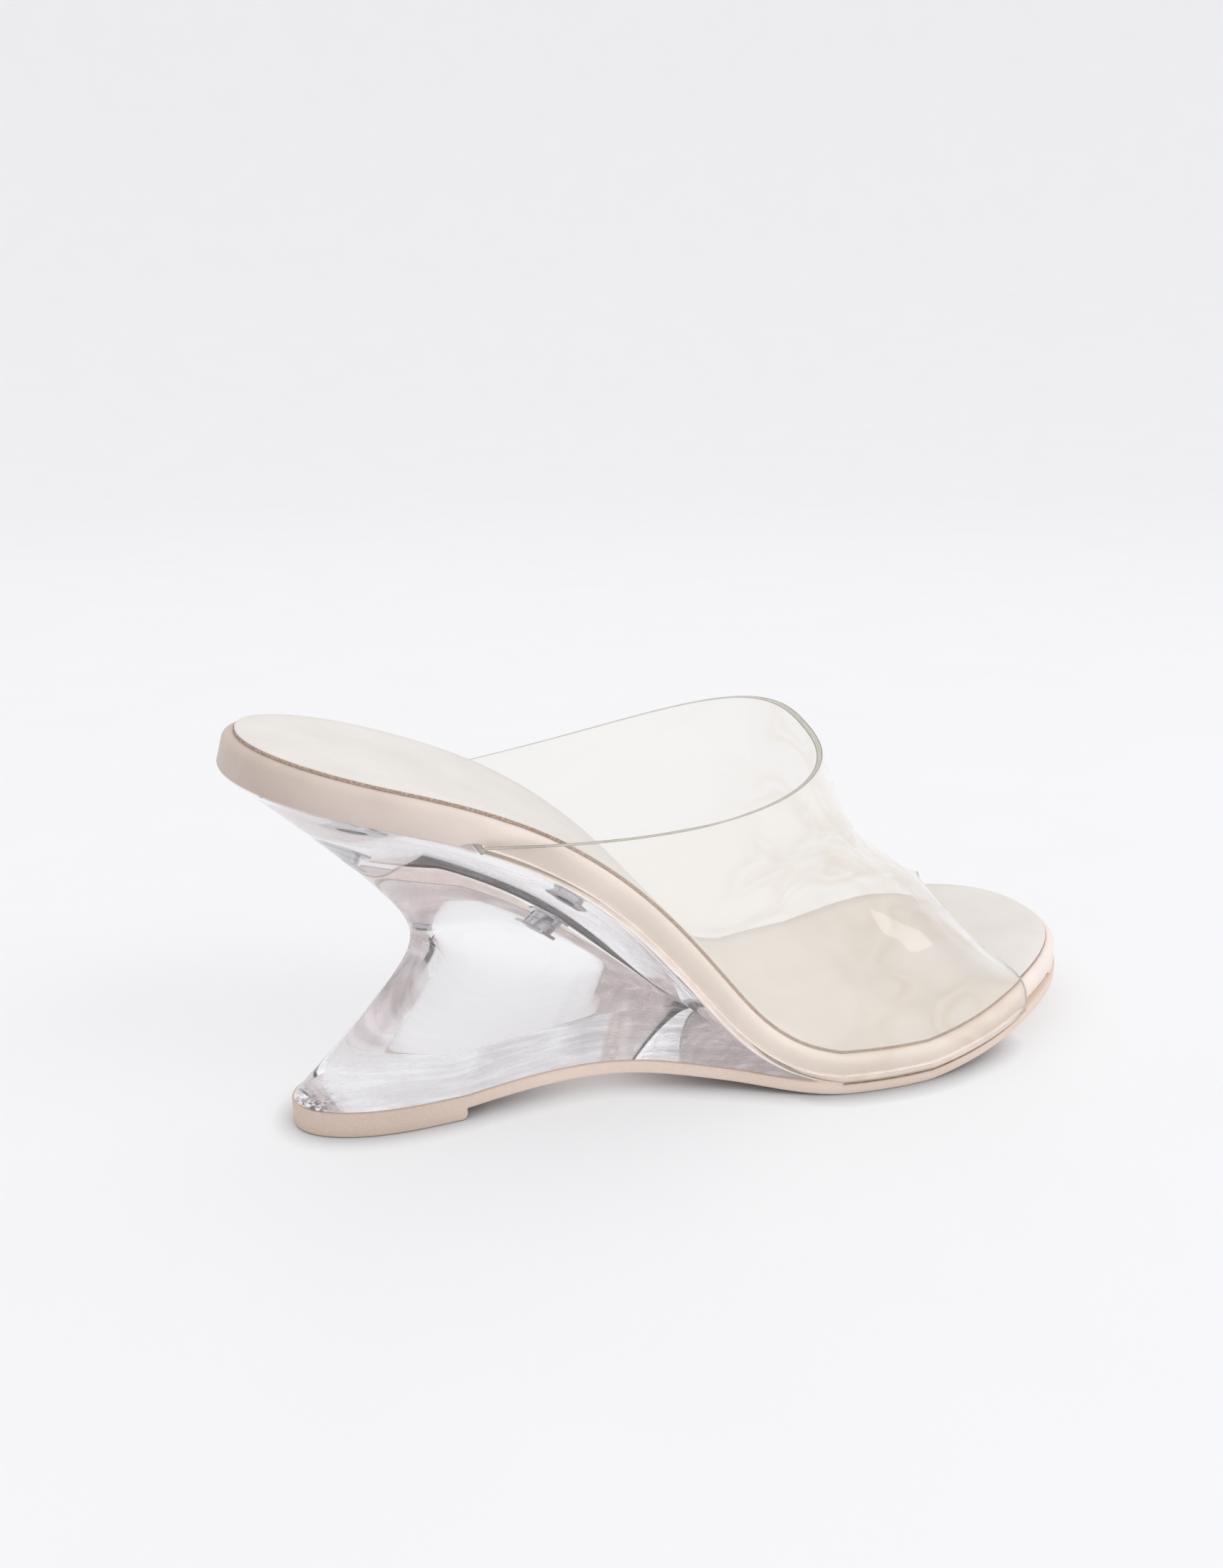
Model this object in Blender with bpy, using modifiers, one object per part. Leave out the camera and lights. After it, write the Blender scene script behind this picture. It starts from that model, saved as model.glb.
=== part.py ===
"""A right-foot open-toe wedge slip-on: clear band, leather-wrapped board, clear acrylic wedge.

Metres, +Z up, +X towards the toe, +Y towards the inner side of the foot. The origin is on the floor, on the
flat underside of the heel lift, midway between the lift's back end and its step.

The board's underside is one line seen from the side. Places on the board are given as a share of that line's
length, a distance across (y) and a height along the line's own normal (h, 0 on the underside).
"""

import math
from collections import namedtuple

import bpy
import bmesh
import numpy as np
from mathutils import Vector

MM = 0.001

# Clearances
SEAT_GAP = 0.3 * MM                # between pieces that are cemented or clamped together

# Board (footbed)
FOOTBED_LENGTH = 245 * MM          # along the underside, heel end to toe end
FOOTBED_THICKNESS = 7.6 * MM       # at the heel; it thins towards the ball
FOOTBED_EDGE_RADIUS = 2.0 * MM     # rounded upper edge under the leather
HEEL_RISE = 83 * MM                # heel end of the underside above the ball
TOE_SPRING = 8.7 * MM              # toe end of the underside above the ball
BALL_HALF_WIDTH = 40 * MM
HEEL_OVERHANG = 27 * MM            # heel end behind the origin
HEEL_CURVE = 0.138                 # share of the length that the rounded heel end takes
HEEL_ROUNDNESS = 2.15
TOE_CURVE = 0.194                  # the same for the toe end
TOE_ROUNDNESS = 2.28

# Sock liner
SOCK_THICKNESS = 1.0 * MM
SOCK_INSET = 2.2 * MM

# Outsole with its heel lift
OUTSOLE_THICKNESS = 3.2 * MM
LIFT_THICKNESS = 6.0 * MM
LIFT_LENGTH = 38 * MM
LIFT_ROUNDNESS = 2.2
LIFT_CURVE = 0.24                  # share of the waist length that the lift's rounded back takes
ARCH_RISE = 5.3 * MM               # highest point of the underside between lift and ball
ARCH_CREST = 0.38                  # where that point lies, as a share of the way from lift to ball
BALL_CONTACT_X = 108 * MM          # where the underside comes down to the floor again
OUTSOLE_MARGIN = 0.4 * MM          # the forefoot's edge beyond the board
OUTSOLE_EDGE = 0.6 * MM            # softened lower edge
WAIST_BLEND = 0.78                 # share of the way to the ball from which its plan turns into the board's
STEP_RADIUS = 1.2 * MM             # lift's rounded lower corner at the step
STEP_LEAN = 0.02 * MM              # run of the step's upright face

# Wedge
WEDGE_TIP = 0.5 * MM               # thickness of its front edge, where it runs out under the board
WEDGE_INSET = 0.5 * MM
NOTCH_DEPTH = 33 * MM              # how far the back is hollowed in from the line between its two ends
NOTCH_LEVEL = 0.46                 # share of the height at its deepest
NOTCH_ROUNDNESS = 0.10             # radius there, as a share of the height
FLARE_DEPTH = 40 * MM              # how far below the board the sides begin to flare out to its width
WAIST_ROUNDING = 10 * MM          # how softly they turn there
WAIST_PINCH = 5.0 * MM             # how far each side is drawn in there
PINCH_LEVELS = (0.05, 0.95)        # where the waist may lie, as shares of the side's height
POCKET_OVERSHOOT = 3 * MM          # how far a pocket's cutter stands out of the top

# Clear band (upper)
WALL = 1.5 * MM
LASTING_MARGIN = 8 * MM            # turned in beneath the board
LASTING_ROOM = 1 * MM              # from its edge to the inner wall of the board's rabbet
RABBET_FADE = 0.01                 # share of the length over which the rabbet runs out beyond the band
RABBET_LEAST = 0.1 * MM            # depth left there
TURN_RADIUS = 1.0 * MM             # middle of the wall, at the board's lower corner
COLLAR_HEIGHT = 81.5 * MM          # crown of the collar above the floor
COLLAR_SWEEP = 2.2                 # above 1: the collar rises late towards its crown
SWEEP_FADE = 0.33                  # share of the band, from the collar on, over which that passes
CLEAR_MARGIN = 0.1 * MM            # more than the gap, where the wall bends round the board's edge

# Fasteners
FLANGE_DIAMETER = 12.5 * MM
FLANGE_THICKNESS = 1.1 * MM
BARREL_DIAMETER = 8.4 * MM
FASTENER_LENGTH = 8.0 * MM
FASTENER_CHAMFER = 0.2 * MM
FASTENER_SINK = 5.0 * MM           # how far it lies sunk in the wedge's top
FASTENER_SHARES = {"fastener_rear": 0.130, "fastener_front": 0.345}

# Sections of the board: share of the length, height as shares of HEEL_RISE and TOE_SPRING, then the outer and
# inner half widths before the ends are rounded and the centre line's swing, as shares of BALL_HALF_WIDTH, and
# the thickness as a share of FOOTBED_THICKNESS
BoardRow = namedtuple("BoardRow", "share heel toe outer inner swing thick")
BOARD_ROWS = [
    BoardRow(0.00, 1.000, 0.00, 0.720, 0.745, 0.012, 1.00),
    BoardRow(0.12, 0.896, 0.00, 0.742, 0.742, 0.008, 1.00),
    BoardRow(0.25, 0.750, 0.00, 0.728, 0.685, 0.000, 1.00),
    BoardRow(0.38, 0.516, 0.00, 0.692, 0.615, -0.002, 0.99),
    BoardRow(0.50, 0.244, 0.00, 0.733, 0.645, -0.005, 0.96),
    BoardRow(0.60, 0.046, 0.00, 0.882, 0.792, 0.015, 0.88),
    BoardRow(0.70, -0.010, 0.00, 1.020, 0.920, 0.038, 0.81),
    BoardRow(0.80, 0.000, 0.22, 1.010, 0.960, 0.058, 0.80),
    BoardRow(0.90, 0.000, 0.75, 0.905, 0.920, 0.082, 0.84),
    BoardRow(1.00, 0.000, 1.00, 0.800, 0.838, 0.105, 0.90),
]

# Plan of the outsole behind the ball: share of the way from its back end to BALL_CONTACT_X, then the outer and
# inner edge as shares of BALL_HALF_WIDTH
WaistRow = namedtuple("WaistRow", "share outer inner")
WAIST_ROWS = [
    WaistRow(0.00, 0.420, 0.285),
    WaistRow(0.20, 0.420, 0.285),
    WaistRow(0.40, 0.405, 0.272),
    WaistRow(0.60, 0.465, 0.330),
    WaistRow(0.80, 0.690, 0.580),
    WaistRow(1.00, 0.930, 0.850),
]

# Ribs of the band from collar to toe opening: share of the board's length at the outer and inner foot and, for
# the crown, its distance from the heel end in the same shares and its height as a share of COLLAR_HEIGHT; then
# how square the rib is, how late it leans towards its crown (1 is evenly), and how much its inner side stands
# above its outer side, as a share of COLLAR_HEIGHT
BandRow = namedtuple("BandRow", "outer inner crown height square lean tilt")
BAND_ROWS = [
    BandRow(0.212, 0.210, 0.567, 1.000, 3.0, 1.0, 0.120),
    BandRow(0.365, 0.370, 0.582, 0.860, 2.8, 1.0, 0.060),
    BandRow(0.500, 0.510, 0.603, 0.712, 2.8, 1.0, 0.025),
    BandRow(0.600, 0.620, 0.634, 0.601, 2.9, 1.0, 0.010),
    BandRow(0.700, 0.730, 0.675, 0.518, 3.1, 1.1, 0.000),
    BandRow(0.790, 0.830, 0.714, 0.405, 3.8, 1.8, 0.000),
    BandRow(0.875, 0.930, 0.757, 0.284, 5.0, 4.0, 0.000),
]

# Finishes: colour, roughness, how metallic and how clear
Finish = namedtuple("Finish", "colour roughness metallic transmission")
FINISHES = {
    "outsole": Finish((0.60, 0.50, 0.42), 0.60, 0.0, 0.0),
    "wedge": Finish((0.93, 0.93, 0.95), 0.02, 0.0, 1.0),
    "footbed": Finish((0.68, 0.56, 0.49), 0.50, 0.0, 0.0),
    "sock": Finish((0.86, 0.82, 0.76), 0.55, 0.0, 0.0),
    "upper": Finish((0.90, 0.89, 0.85), 0.05, 0.0, 1.0),
    "fastener_rear": Finish((0.62, 0.63, 0.65), 0.18, 1.0, 0.0),
    "fastener_front": Finish((0.62, 0.63, 0.65), 0.18, 1.0, 0.0),
}

# Facets
BOARD_SAMPLES = 600
OUTLINE_STATIONS = 46
WEDGE_STATIONS = 40
WEDGE_RINGS = 22
WEDGE_PACKING = 1.6                # above 1: its stations crowd towards the back
BAND_RIBS = 20
BAND_COLUMNS = 34
TURN_POINTS = 3
EDGE_POINTS = 3
SEGMENTS = 28
RIB_SAMPLES = 240
SLOPE_STEP = 0.002                 # share of the length over which an edge's slope is taken
WELD = 0.0001 * MM
SHARP_ANGLE = math.radians(35)


def spline(knots, values, at):
    """Natural cubic spline through a short table."""
    knots = np.asarray(knots, float)
    values = np.asarray(values, float)
    steps = np.diff(knots)
    slopes = np.diff(values) / steps
    size = len(knots)
    matrix = np.eye(size)
    right = np.zeros(size)
    for i in range(1, size - 1):
        matrix[i, i - 1:i + 2] = (steps[i - 1], 2 * (steps[i - 1] + steps[i]), steps[i])
        right[i] = 6 * (slopes[i] - slopes[i - 1])
    bend = np.linalg.solve(matrix, right)
    at = np.asarray(at, float)
    k = np.clip(np.searchsorted(knots, at) - 1, 0, size - 2)
    a = knots[k + 1] - at
    b = at - knots[k]
    h = steps[k]
    cubic = (bend[k] * a ** 3 + bend[k + 1] * b ** 3) / (6 * h)
    return cubic + (values[k] / h - bend[k] * h / 6) * a + (values[k + 1] / h - bend[k + 1] * h / 6) * b


def column(rows, name, at):
    return spline([row.share for row in rows], [getattr(row, name) for row in rows], at)


def smooth(x):
    x = np.clip(x, 0.0, 1.0)
    return x * x * (3 - 2 * x)


def rounded_end(x, power):
    """Rises from 0 to 1 along a superelliptic quarter as x goes from 0 to 1."""
    return np.maximum(1 - (1 - np.clip(x, 0.0, 1.0)) ** power, 0.0) ** (1 / power)


def dense_to_ends(count):
    return 0.5 - 0.5 * np.cos(np.linspace(0.0, math.pi, count + 1))


class Board:
    """The board's side line and plan, which the other pieces are worked out from."""

    def __init__(self):
        self.share = np.linspace(0.0, 1.0, BOARD_SAMPLES + 1)
        rise = HEEL_RISE * column(BOARD_ROWS, "heel", self.share)
        spring = TOE_SPRING * column(BOARD_ROWS, "toe", self.share)
        level = OUTSOLE_THICKNESS + SEAT_GAP
        self.z = level + np.maximum(rise + spring, 0.0)
        climb = np.gradient(self.z, self.share)
        run = np.sqrt(FOOTBED_LENGTH ** 2 - climb ** 2)
        steps = (run[1:] + run[:-1]) / 2 * np.diff(self.share)
        self.x = -HEEL_OVERHANG + np.concatenate([[0.0], np.cumsum(steps)])
        self.normal = np.stack([-climb, run], 1) / FOOTBED_LENGTH

    def place(self, share, y, h):
        """World points from shares of the length, distances across and heights above the underside."""
        share, y, h = np.broadcast_arrays(share, y, h)
        inside = np.clip(share, 0.0, 1.0)
        beyond = (share - inside) * FOOTBED_LENGTH
        nx = np.interp(inside, self.share, self.normal[:, 0])
        nz = np.interp(inside, self.share, self.normal[:, 1])
        x = np.interp(inside, self.share, self.x) + beyond * nz + h * nx
        z = np.interp(inside, self.share, self.z) - beyond * nx + h * nz
        return np.stack([x, y, z], -1)

    def locate(self, points):
        """Share of the length and height above the underside of world points."""
        dx = points[:, None, 0] - self.x[None]
        dz = points[:, None, 2] - self.z[None]
        nearest = np.argmin(dx * dx + dz * dz, axis=1)
        rows = np.arange(len(points))
        h = dx[rows, nearest] * self.normal[nearest, 0] + dz[rows, nearest] * self.normal[nearest, 1]
        return self.share[nearest], h

    def thickness(self, share):
        return FOOTBED_THICKNESS * column(BOARD_ROWS, "thick", np.clip(share, 0.0, 1.0))

    def share_at(self, x):
        return np.interp(x, self.x, self.share)

    def height_at(self, x):
        return np.interp(x, self.x, self.z)

    def edges(self, share):
        """Outer and inner edge across the board, with both ends rounded."""
        ends = rounded_end(share / HEEL_CURVE, HEEL_ROUNDNESS)
        ends = ends * rounded_end((1 - share) / TOE_CURVE, TOE_ROUNDNESS)
        swing = BALL_HALF_WIDTH * column(BOARD_ROWS, "swing", share)
        outer = swing - BALL_HALF_WIDTH * column(BOARD_ROWS, "outer", share) * ends
        inner = swing + BALL_HALF_WIDTH * column(BOARD_ROWS, "inner", share) * ends
        return outer, inner


def ring(along, outer, inner):
    """Closed outline: the outer edge from back to front, then the inner edge back again."""
    return np.concatenate([np.stack([along, outer], 1), np.stack([along, inner], 1)[:0:-1]])


def outward(outline):
    """Unit normals of a closed outline that runs counter-clockwise."""
    same = np.linalg.norm(np.roll(outline, -1, 0) - outline, axis=1) < WELD
    ahead = np.roll(outline, -1, 0)
    ahead[same] = np.roll(outline, -2, 0)[same]
    behind = np.roll(outline, 1, 0)
    repeat = np.roll(same, 1)
    behind[repeat] = np.roll(outline, 2, 0)[repeat]
    tangent = ahead - behind
    tangent /= np.linalg.norm(tangent, axis=1)[:, None]
    return np.stack([tangent[:, 1], -tangent[:, 0]], 1)


def inset(outline, distance):
    return outline - outward(outline) * distance


def board_outline(board):
    """The board's plan in metres along its underside and across."""
    share = dense_to_ends(OUTLINE_STATIONS)
    outer, inner = board.edges(share)
    return ring(share * FOOTBED_LENGTH, outer, inner)


def on_board(board, outline, h):
    return board.place(outline[:, 0] / FOOTBED_LENGTH, outline[:, 1], h)


def outsole_back():
    return -LIFT_LENGTH / 2


def outsole_underside(board, x):
    """Height of the outsole's underside: arch behind the ball, then the board's own line."""
    start = LIFT_LENGTH / 2
    along = (x - start) / (BALL_CONTACT_X - start)
    step = LIFT_THICKNESS - OUTSOLE_THICKNESS
    arch = step + (ARCH_RISE - step) * np.sin(math.pi / 2 * np.clip(along / ARCH_CREST, 0.0, 1.0))
    arch = arch * (1 - smooth((along - ARCH_CREST) / (1 - ARCH_CREST)))
    under_board = board.height_at(x) - SEAT_GAP - OUTSOLE_THICKNESS
    ball = board.x[np.argmin(board.z)]
    return np.where(x < ball, arch, under_board)


def outsole_edges(board, x):
    """Outer and inner edge of the outsole: its own plan behind the ball, the board's plan under the forefoot."""
    waist = BALL_CONTACT_X - outsole_back()
    share = (x - outsole_back()) / waist
    ends = rounded_end(share / LIFT_CURVE, LIFT_ROUNDNESS)
    own = np.clip(share, 0.0, 1.0)
    outer = -BALL_HALF_WIDTH * column(WAIST_ROWS, "outer", own)
    inner = BALL_HALF_WIDTH * column(WAIST_ROWS, "inner", own)
    centre = (outer + inner) / 2
    outer = centre + (outer - centre) * ends
    inner = centre + (inner - centre) * ends
    plan = inset(board_outline(board), -OUTSOLE_MARGIN)
    half = OUTLINE_STATIONS + 1
    placed = on_board(board, plan, 0.0)
    front_outer = np.interp(x, placed[:half, 0], placed[:half, 1])
    back_again = np.concatenate([placed[:1], placed[:half - 1:-1], placed[half - 1:half]])
    front_inner = np.interp(x, back_again[:, 0], back_again[:, 1])
    blend = smooth((share - WAIST_BLEND) / (1 - WAIST_BLEND))
    return outer + (front_outer - outer) * blend, inner + (front_inner - inner) * blend


def make_object(name, vertices, faces):
    """One named mesh object with its own material."""
    mesh = bpy.data.meshes.new(name)
    mesh.from_pydata([tuple(v) for v in vertices], [], faces)
    clean = bmesh.new()
    clean.from_mesh(mesh)
    bmesh.ops.remove_doubles(clean, verts=clean.verts, dist=WELD)
    clean.to_mesh(mesh)
    clean.free()
    obj = bpy.data.objects.new(name, mesh)
    MODEL.objects.link(obj)
    finish(obj)
    return obj


def finish(obj):
    """The object's own material from the table, and smooth shading up to the sharp angle."""
    look = FINISHES[obj.name]
    material = bpy.data.materials.new(obj.name + "_finish")
    material.use_nodes = True
    shader = material.node_tree.nodes["Principled BSDF"]
    shader.inputs["Base Color"].default_value = (*look.colour, 1.0)
    shader.inputs["Roughness"].default_value = look.roughness
    shader.inputs["Metallic"].default_value = look.metallic
    shader.inputs["Transmission Weight"].default_value = look.transmission
    obj.data.materials.clear()
    obj.data.materials.append(material)
    obj.data.shade_smooth()
    obj.data.set_sharp_from_angle(angle=SHARP_ANGLE)


def stack(rings):
    """Vertices and faces of a closed body from outlines laid one above the other.

    Each outline runs along the outer side from back to front and returns along the inner side, so the two
    ends are closed by rungs between its sides.
    """
    count = len(rings[0])
    vertices = np.concatenate(rings)
    faces = []
    for level in range(len(rings) - 1):
        low = level * count
        high = low + count
        for i in range(count):
            j = (i + 1) % count
            faces.append((low + i, low + j, high + j, high + i))
    top = (len(rings) - 1) * count
    half = count // 2
    for i in range(half):
        far = (count - i) % count
        rung = [i, i + 1, count - i - 1]
        if i > 0:
            rung.append(far)
        faces.append(tuple(reversed(rung)))
        faces.append(tuple(top + k for k in rung))
    return vertices, faces


def build_footbed(board):
    """Leather-wrapped board with a rounded upper edge and a rabbet beneath for the turned-in band."""
    outline = board_outline(board)
    share = outline[:, 0] / FOOTBED_LENGTH
    first = BAND_ROWS[0].outer - 2 * RABBET_FADE
    last = BAND_ROWS[-1].inner + 2 * RABBET_FADE
    reach = smooth((share - first) / RABBET_FADE) * smooth((last - share) / RABBET_FADE)
    rabbet = RABBET_LEAST + (WALL + SEAT_GAP - RABBET_LEAST) * reach
    inner_line = inset(outline, LASTING_MARGIN + LASTING_ROOM)
    rings = [on_board(board, inner_line, 0.0)]
    rings.append(on_board(board, inner_line, rabbet))
    rings.append(on_board(board, outline, rabbet))
    for angle in np.linspace(0.0, math.pi / 2, EDGE_POINTS + 1):
        back = FOOTBED_EDGE_RADIUS * (1 - math.cos(angle))
        up = board.thickness(share) - FOOTBED_EDGE_RADIUS * (1 - math.sin(angle))
        rings.append(on_board(board, inset(outline, back), up))
    make_object("footbed", *stack(rings))


def build_sock(board):
    """Cream sock liner, set in from the board's edge."""
    outline = inset(board_outline(board), SOCK_INSET)
    low = board.thickness(outline[:, 0] / FOOTBED_LENGTH) + SEAT_GAP
    rings = [on_board(board, outline, low), on_board(board, outline, low + SOCK_THICKNESS)]
    make_object("sock", *stack(rings))


def build_outsole(board):
    """Thin outsole with its own heel lift, a step where the lift ends and a softened lower edge."""
    run = outsole_back() + (board.x[-1] - outsole_back()) * dense_to_ends(OUTLINE_STATIONS)
    step = LIFT_LENGTH / 2
    away = np.abs(run - step) > 2 * STEP_RADIUS
    corner = step - STEP_RADIUS * np.cos(np.linspace(0.0, math.pi / 2, EDGE_POINTS))
    x = np.sort(np.concatenate([run[away], corner, [step + STEP_LEAN]]))
    outer, inner = outsole_edges(board, x)
    tip = (outer[-1] + inner[-1]) / 2
    outer[-1] = tip
    inner[-1] = tip
    outline = ring(x, outer, inner)
    along = outline[:, 0]
    arch = outsole_underside(board, along)
    corner_share = np.clip((along - step) / STEP_RADIUS + 1, 0.0, 1.0)
    corner_height = STEP_RADIUS * (1 - np.sqrt(1 - corner_share ** 2))
    under = np.where(along <= step, corner_height, arch)
    top = np.where(along <= step, LIFT_THICKNESS, arch + OUTSOLE_THICKNESS)
    sunk = inset(outline, OUTSOLE_EDGE)
    rings = [np.column_stack([sunk, under]),
             np.column_stack([outline, under + OUTSOLE_EDGE]),
             np.column_stack([outline, top])]
    make_object("outsole", *stack(rings))


def hollow(level, deepest, roundness):
    """Share of a hollow's depth at a share of its height: two straight flanks and a round bottom."""
    def branch(v):
        return np.sqrt(roundness ** 2 + (v - deepest) ** 2)

    def below(v):
        return branch(0.0) * (1 - v) + branch(1.0) * v - branch(v)

    return below(level) / below(deepest)


def flared(depth, height):
    """Share of the way from base width to board width at a depth under the board, on a side so high."""
    def branch(d):
        return np.maximum(FLARE_DEPTH - d, 0.0) ** 2

    return (branch(depth) - branch(height)) / (branch(0.0) - branch(height))


def pinched(level, height):
    """How far each side is drawn in at a share of its height, most where the flare begins."""
    tall = smooth((height - FLARE_DEPTH) / FLARE_DEPTH)
    deepest = np.clip(1 - FLARE_DEPTH / height, *PINCH_LEVELS)
    return WAIST_PINCH * tall * hollow(level, deepest, WAIST_ROUNDING / height)


def wedge_front(board):
    """Where the space between outsole and board is down to the wedge's front edge and its two seats."""
    top = outsole_underside(board, board.x) + OUTSOLE_THICKNESS
    thin = (board.z - top < WEDGE_TIP + 2 * SEAT_GAP) & (board.x > LIFT_LENGTH / 2)
    return board.x[np.argmax(thin)]


def build_wedge(board):
    """Clear wedge: a pinched waist, sides that flare out under the board, and a back hollowed to a C."""
    along = np.linspace(0.0, 1.0, WEDGE_STATIONS + 1) ** WEDGE_PACKING
    front = wedge_front(board)
    base_back = outsole_back() + WEDGE_INSET
    seat_back = board.place(WEDGE_INSET / FOOTBED_LENGTH, 0.0, -SEAT_GAP)[0]
    base_x = base_back + (front - base_back) * along
    base_outer, base_inner = outsole_edges(board, outsole_back() + (front - outsole_back()) * along)
    base_z = outsole_underside(board, base_x) + OUTSOLE_THICKNESS + SEAT_GAP
    base_z = np.where(base_x < LIFT_LENGTH / 2, LIFT_THICKNESS + SEAT_GAP, base_z)
    seat_x = seat_back + (front - seat_back) * along
    seat_outer, seat_inner = board.edges(board.share_at(board.x[0] + (front - board.x[0]) * along))
    seat_z = board.height_at(seat_x) - SEAT_GAP / np.interp(seat_x, board.x, board.normal[:, 1])
    height = np.maximum(seat_z - base_z, WEDGE_TIP)
    rings = []
    for level in np.linspace(0.0, 1.0, WEDGE_RINGS + 1):
        flare = flared((1 - level) * height, height)
        back = NOTCH_DEPTH * hollow(level, NOTCH_LEVEL, NOTCH_ROUNDNESS)
        x = base_x * (1 - level) + seat_x * level + back * (1 - along)
        outer = base_outer * (1 - flare) + seat_outer * flare
        inner = base_inner * (1 - flare) + seat_inner * flare
        centre = (outer + inner) / 2
        half = (inner - outer) / 2
        half = half ** 2 / (half + WEDGE_INSET + pinched(level, height))
        z = base_z * (1 - level) + seat_z * level
        low = np.stack([x, centre - half, z], 1)
        high = np.stack([x, centre + half, z], 1)
        rings.append(np.concatenate([low, high[:0:-1]]))
    wedge = make_object("wedge", *stack(rings))
    for name, share in FASTENER_SHARES.items():
        cut_pocket(board, wedge, name, share)


def cut_pocket(board, wedge, name, share):
    """Blind round pocket in the wedge's top for one fastener."""
    depth = FASTENER_SINK + FASTENER_LENGTH + 2 * SEAT_GAP
    bpy.ops.mesh.primitive_cylinder_add(vertices=SEGMENTS, radius=FLANGE_DIAMETER / 2 + SEAT_GAP,
                                        depth=depth + POCKET_OVERSHOOT)
    cutter = bpy.context.active_object
    cutter.name = name + "_pocket"
    for collection in list(cutter.users_collection):
        collection.objects.unlink(cutter)
    MODEL_CUTTERS.objects.link(cutter)
    stand_on_board(cutter, board, share, (POCKET_OVERSHOOT - depth) / 2 - SEAT_GAP)
    cutter.hide_render = True
    cutter.display_type = "WIRE"
    cut = wedge.modifiers.new(cutter.name, "BOOLEAN")
    cut.object = cutter
    cut.operation = "DIFFERENCE"
    cut.solver = "EXACT"


def stand_on_board(obj, board, share, h):
    """Place an object on the board's normal at a share of its length."""
    obj.location = Vector(board.place(share, 0.0, h))
    nx = float(np.interp(share, board.share, board.normal[:, 0]))
    nz = float(np.interp(share, board.share, board.normal[:, 1]))
    obj.rotation_euler = (0.0, math.atan2(nx, nz), 0.0)


def build_fastener(board, name, share):
    """Turned metal sleeve with a flange at each end, sunk in the wedge just below the board."""
    flange = FLANGE_DIAMETER / 2
    barrel = BARREL_DIAMETER / 2
    half = FASTENER_LENGTH / 2
    profile = [(0.0, half), (flange - FASTENER_CHAMFER, half), (flange, half - FASTENER_CHAMFER),
               (flange, half - FLANGE_THICKNESS), (barrel, half - FLANGE_THICKNESS)]
    profile = profile + [(radius, -z) for radius, z in reversed(profile)]
    mesh = bpy.data.meshes.new(name)
    edges = [(i, i + 1) for i in range(len(profile) - 1)]
    mesh.from_pydata([(radius, 0.0, z) for radius, z in profile], edges, [])
    obj = bpy.data.objects.new(name, mesh)
    MODEL.objects.link(obj)
    turn = obj.modifiers.new("turn", "SCREW")
    turn.steps = SEGMENTS
    turn.render_steps = SEGMENTS
    turn.use_merge_vertices = True
    turn.merge_threshold = WELD
    stand_on_board(obj, board, share, -2 * SEAT_GAP - FASTENER_SINK - half)
    finish(obj)


def band_foot(board, share, side):
    """Wall middle from the lasting margin's edge round the board's lower corner, side -1 outer or +1 inner."""
    near = board.edges(share + SLOPE_STEP * np.array([-1.0, 0.0, 1.0]))[0 if side < 0 else 1]
    slope = (near[2] - near[0]) / (2 * SLOPE_STEP * FOOTBED_LENGTH)
    away = side * np.array([-slope, 1.0]) / math.hypot(slope, 1.0)
    out = SEAT_GAP + WALL / 2 + CLEAR_MARGIN
    low = WALL / 2
    path = [(-LASTING_MARGIN, low), (-LASTING_MARGIN / 2, low)]
    for angle in np.linspace(0.0, math.pi / 2, TURN_POINTS + 1):
        reach = out - TURN_RADIUS * (1 - math.sin(angle))
        path.append((reach, low + TURN_RADIUS * (1 - math.cos(angle))))
    path = np.array(path)
    along = share + away[0] * path[:, 0] / FOOTBED_LENGTH
    across = near[1] + away[1] * path[:, 0]
    return board.place(along, across, path[:, 1])


def band_rib(board, position):
    """Middle of the wall along one rib, position 0 at the collar and 1 at the toe opening."""
    rows = np.linspace(0.0, 1.0, len(BAND_ROWS))
    values = {name: float(spline(rows, [getattr(row, name) for row in BAND_ROWS], position))
              for name in BandRow._fields}
    start = band_foot(board, values["outer"], -1)
    end = band_foot(board, values["inner"], 1)
    crown_x = -HEEL_OVERHANG + values["crown"] * FOOTBED_LENGTH
    crown_z = values["height"] * COLLAR_HEIGHT
    angle = np.linspace(0.0, math.pi, RIB_SAMPLES + 1)
    power = 2 / values["square"]
    climb = np.sin(angle).clip(0.0) ** power
    side = np.sign(np.cos(angle)) * np.abs(np.cos(angle)) ** power
    mix = ((1 - side) / 2)[:, None]
    foot = start[-1] * (1 - mix) + end[-1] * mix
    sweep = 1 + (COLLAR_SWEEP - 1) * (1 - smooth(position / SWEEP_FADE))
    middle = (start[-1] + end[-1]) / 2
    x = foot[:, 0] + (crown_x - middle[0]) * climb ** values["lean"]
    z = foot[:, 2] + (crown_z - middle[2]) * climb ** sweep
    z = z - values["tilt"] * COLLAR_HEIGHT * climb * side
    arch = np.stack([x, foot[:, 1], z], 1)
    arch = clear_of_board(board, arch)
    lengths = np.concatenate([[0.0], np.cumsum(np.linalg.norm(np.diff(arch, axis=0), axis=1))])
    even = np.linspace(0.0, lengths[-1], BAND_COLUMNS + 1)
    arch = np.stack([np.interp(even, lengths, arch[:, k]) for k in range(3)], 1)
    return np.concatenate([start[:-1], arch, end[-2::-1]])


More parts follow.
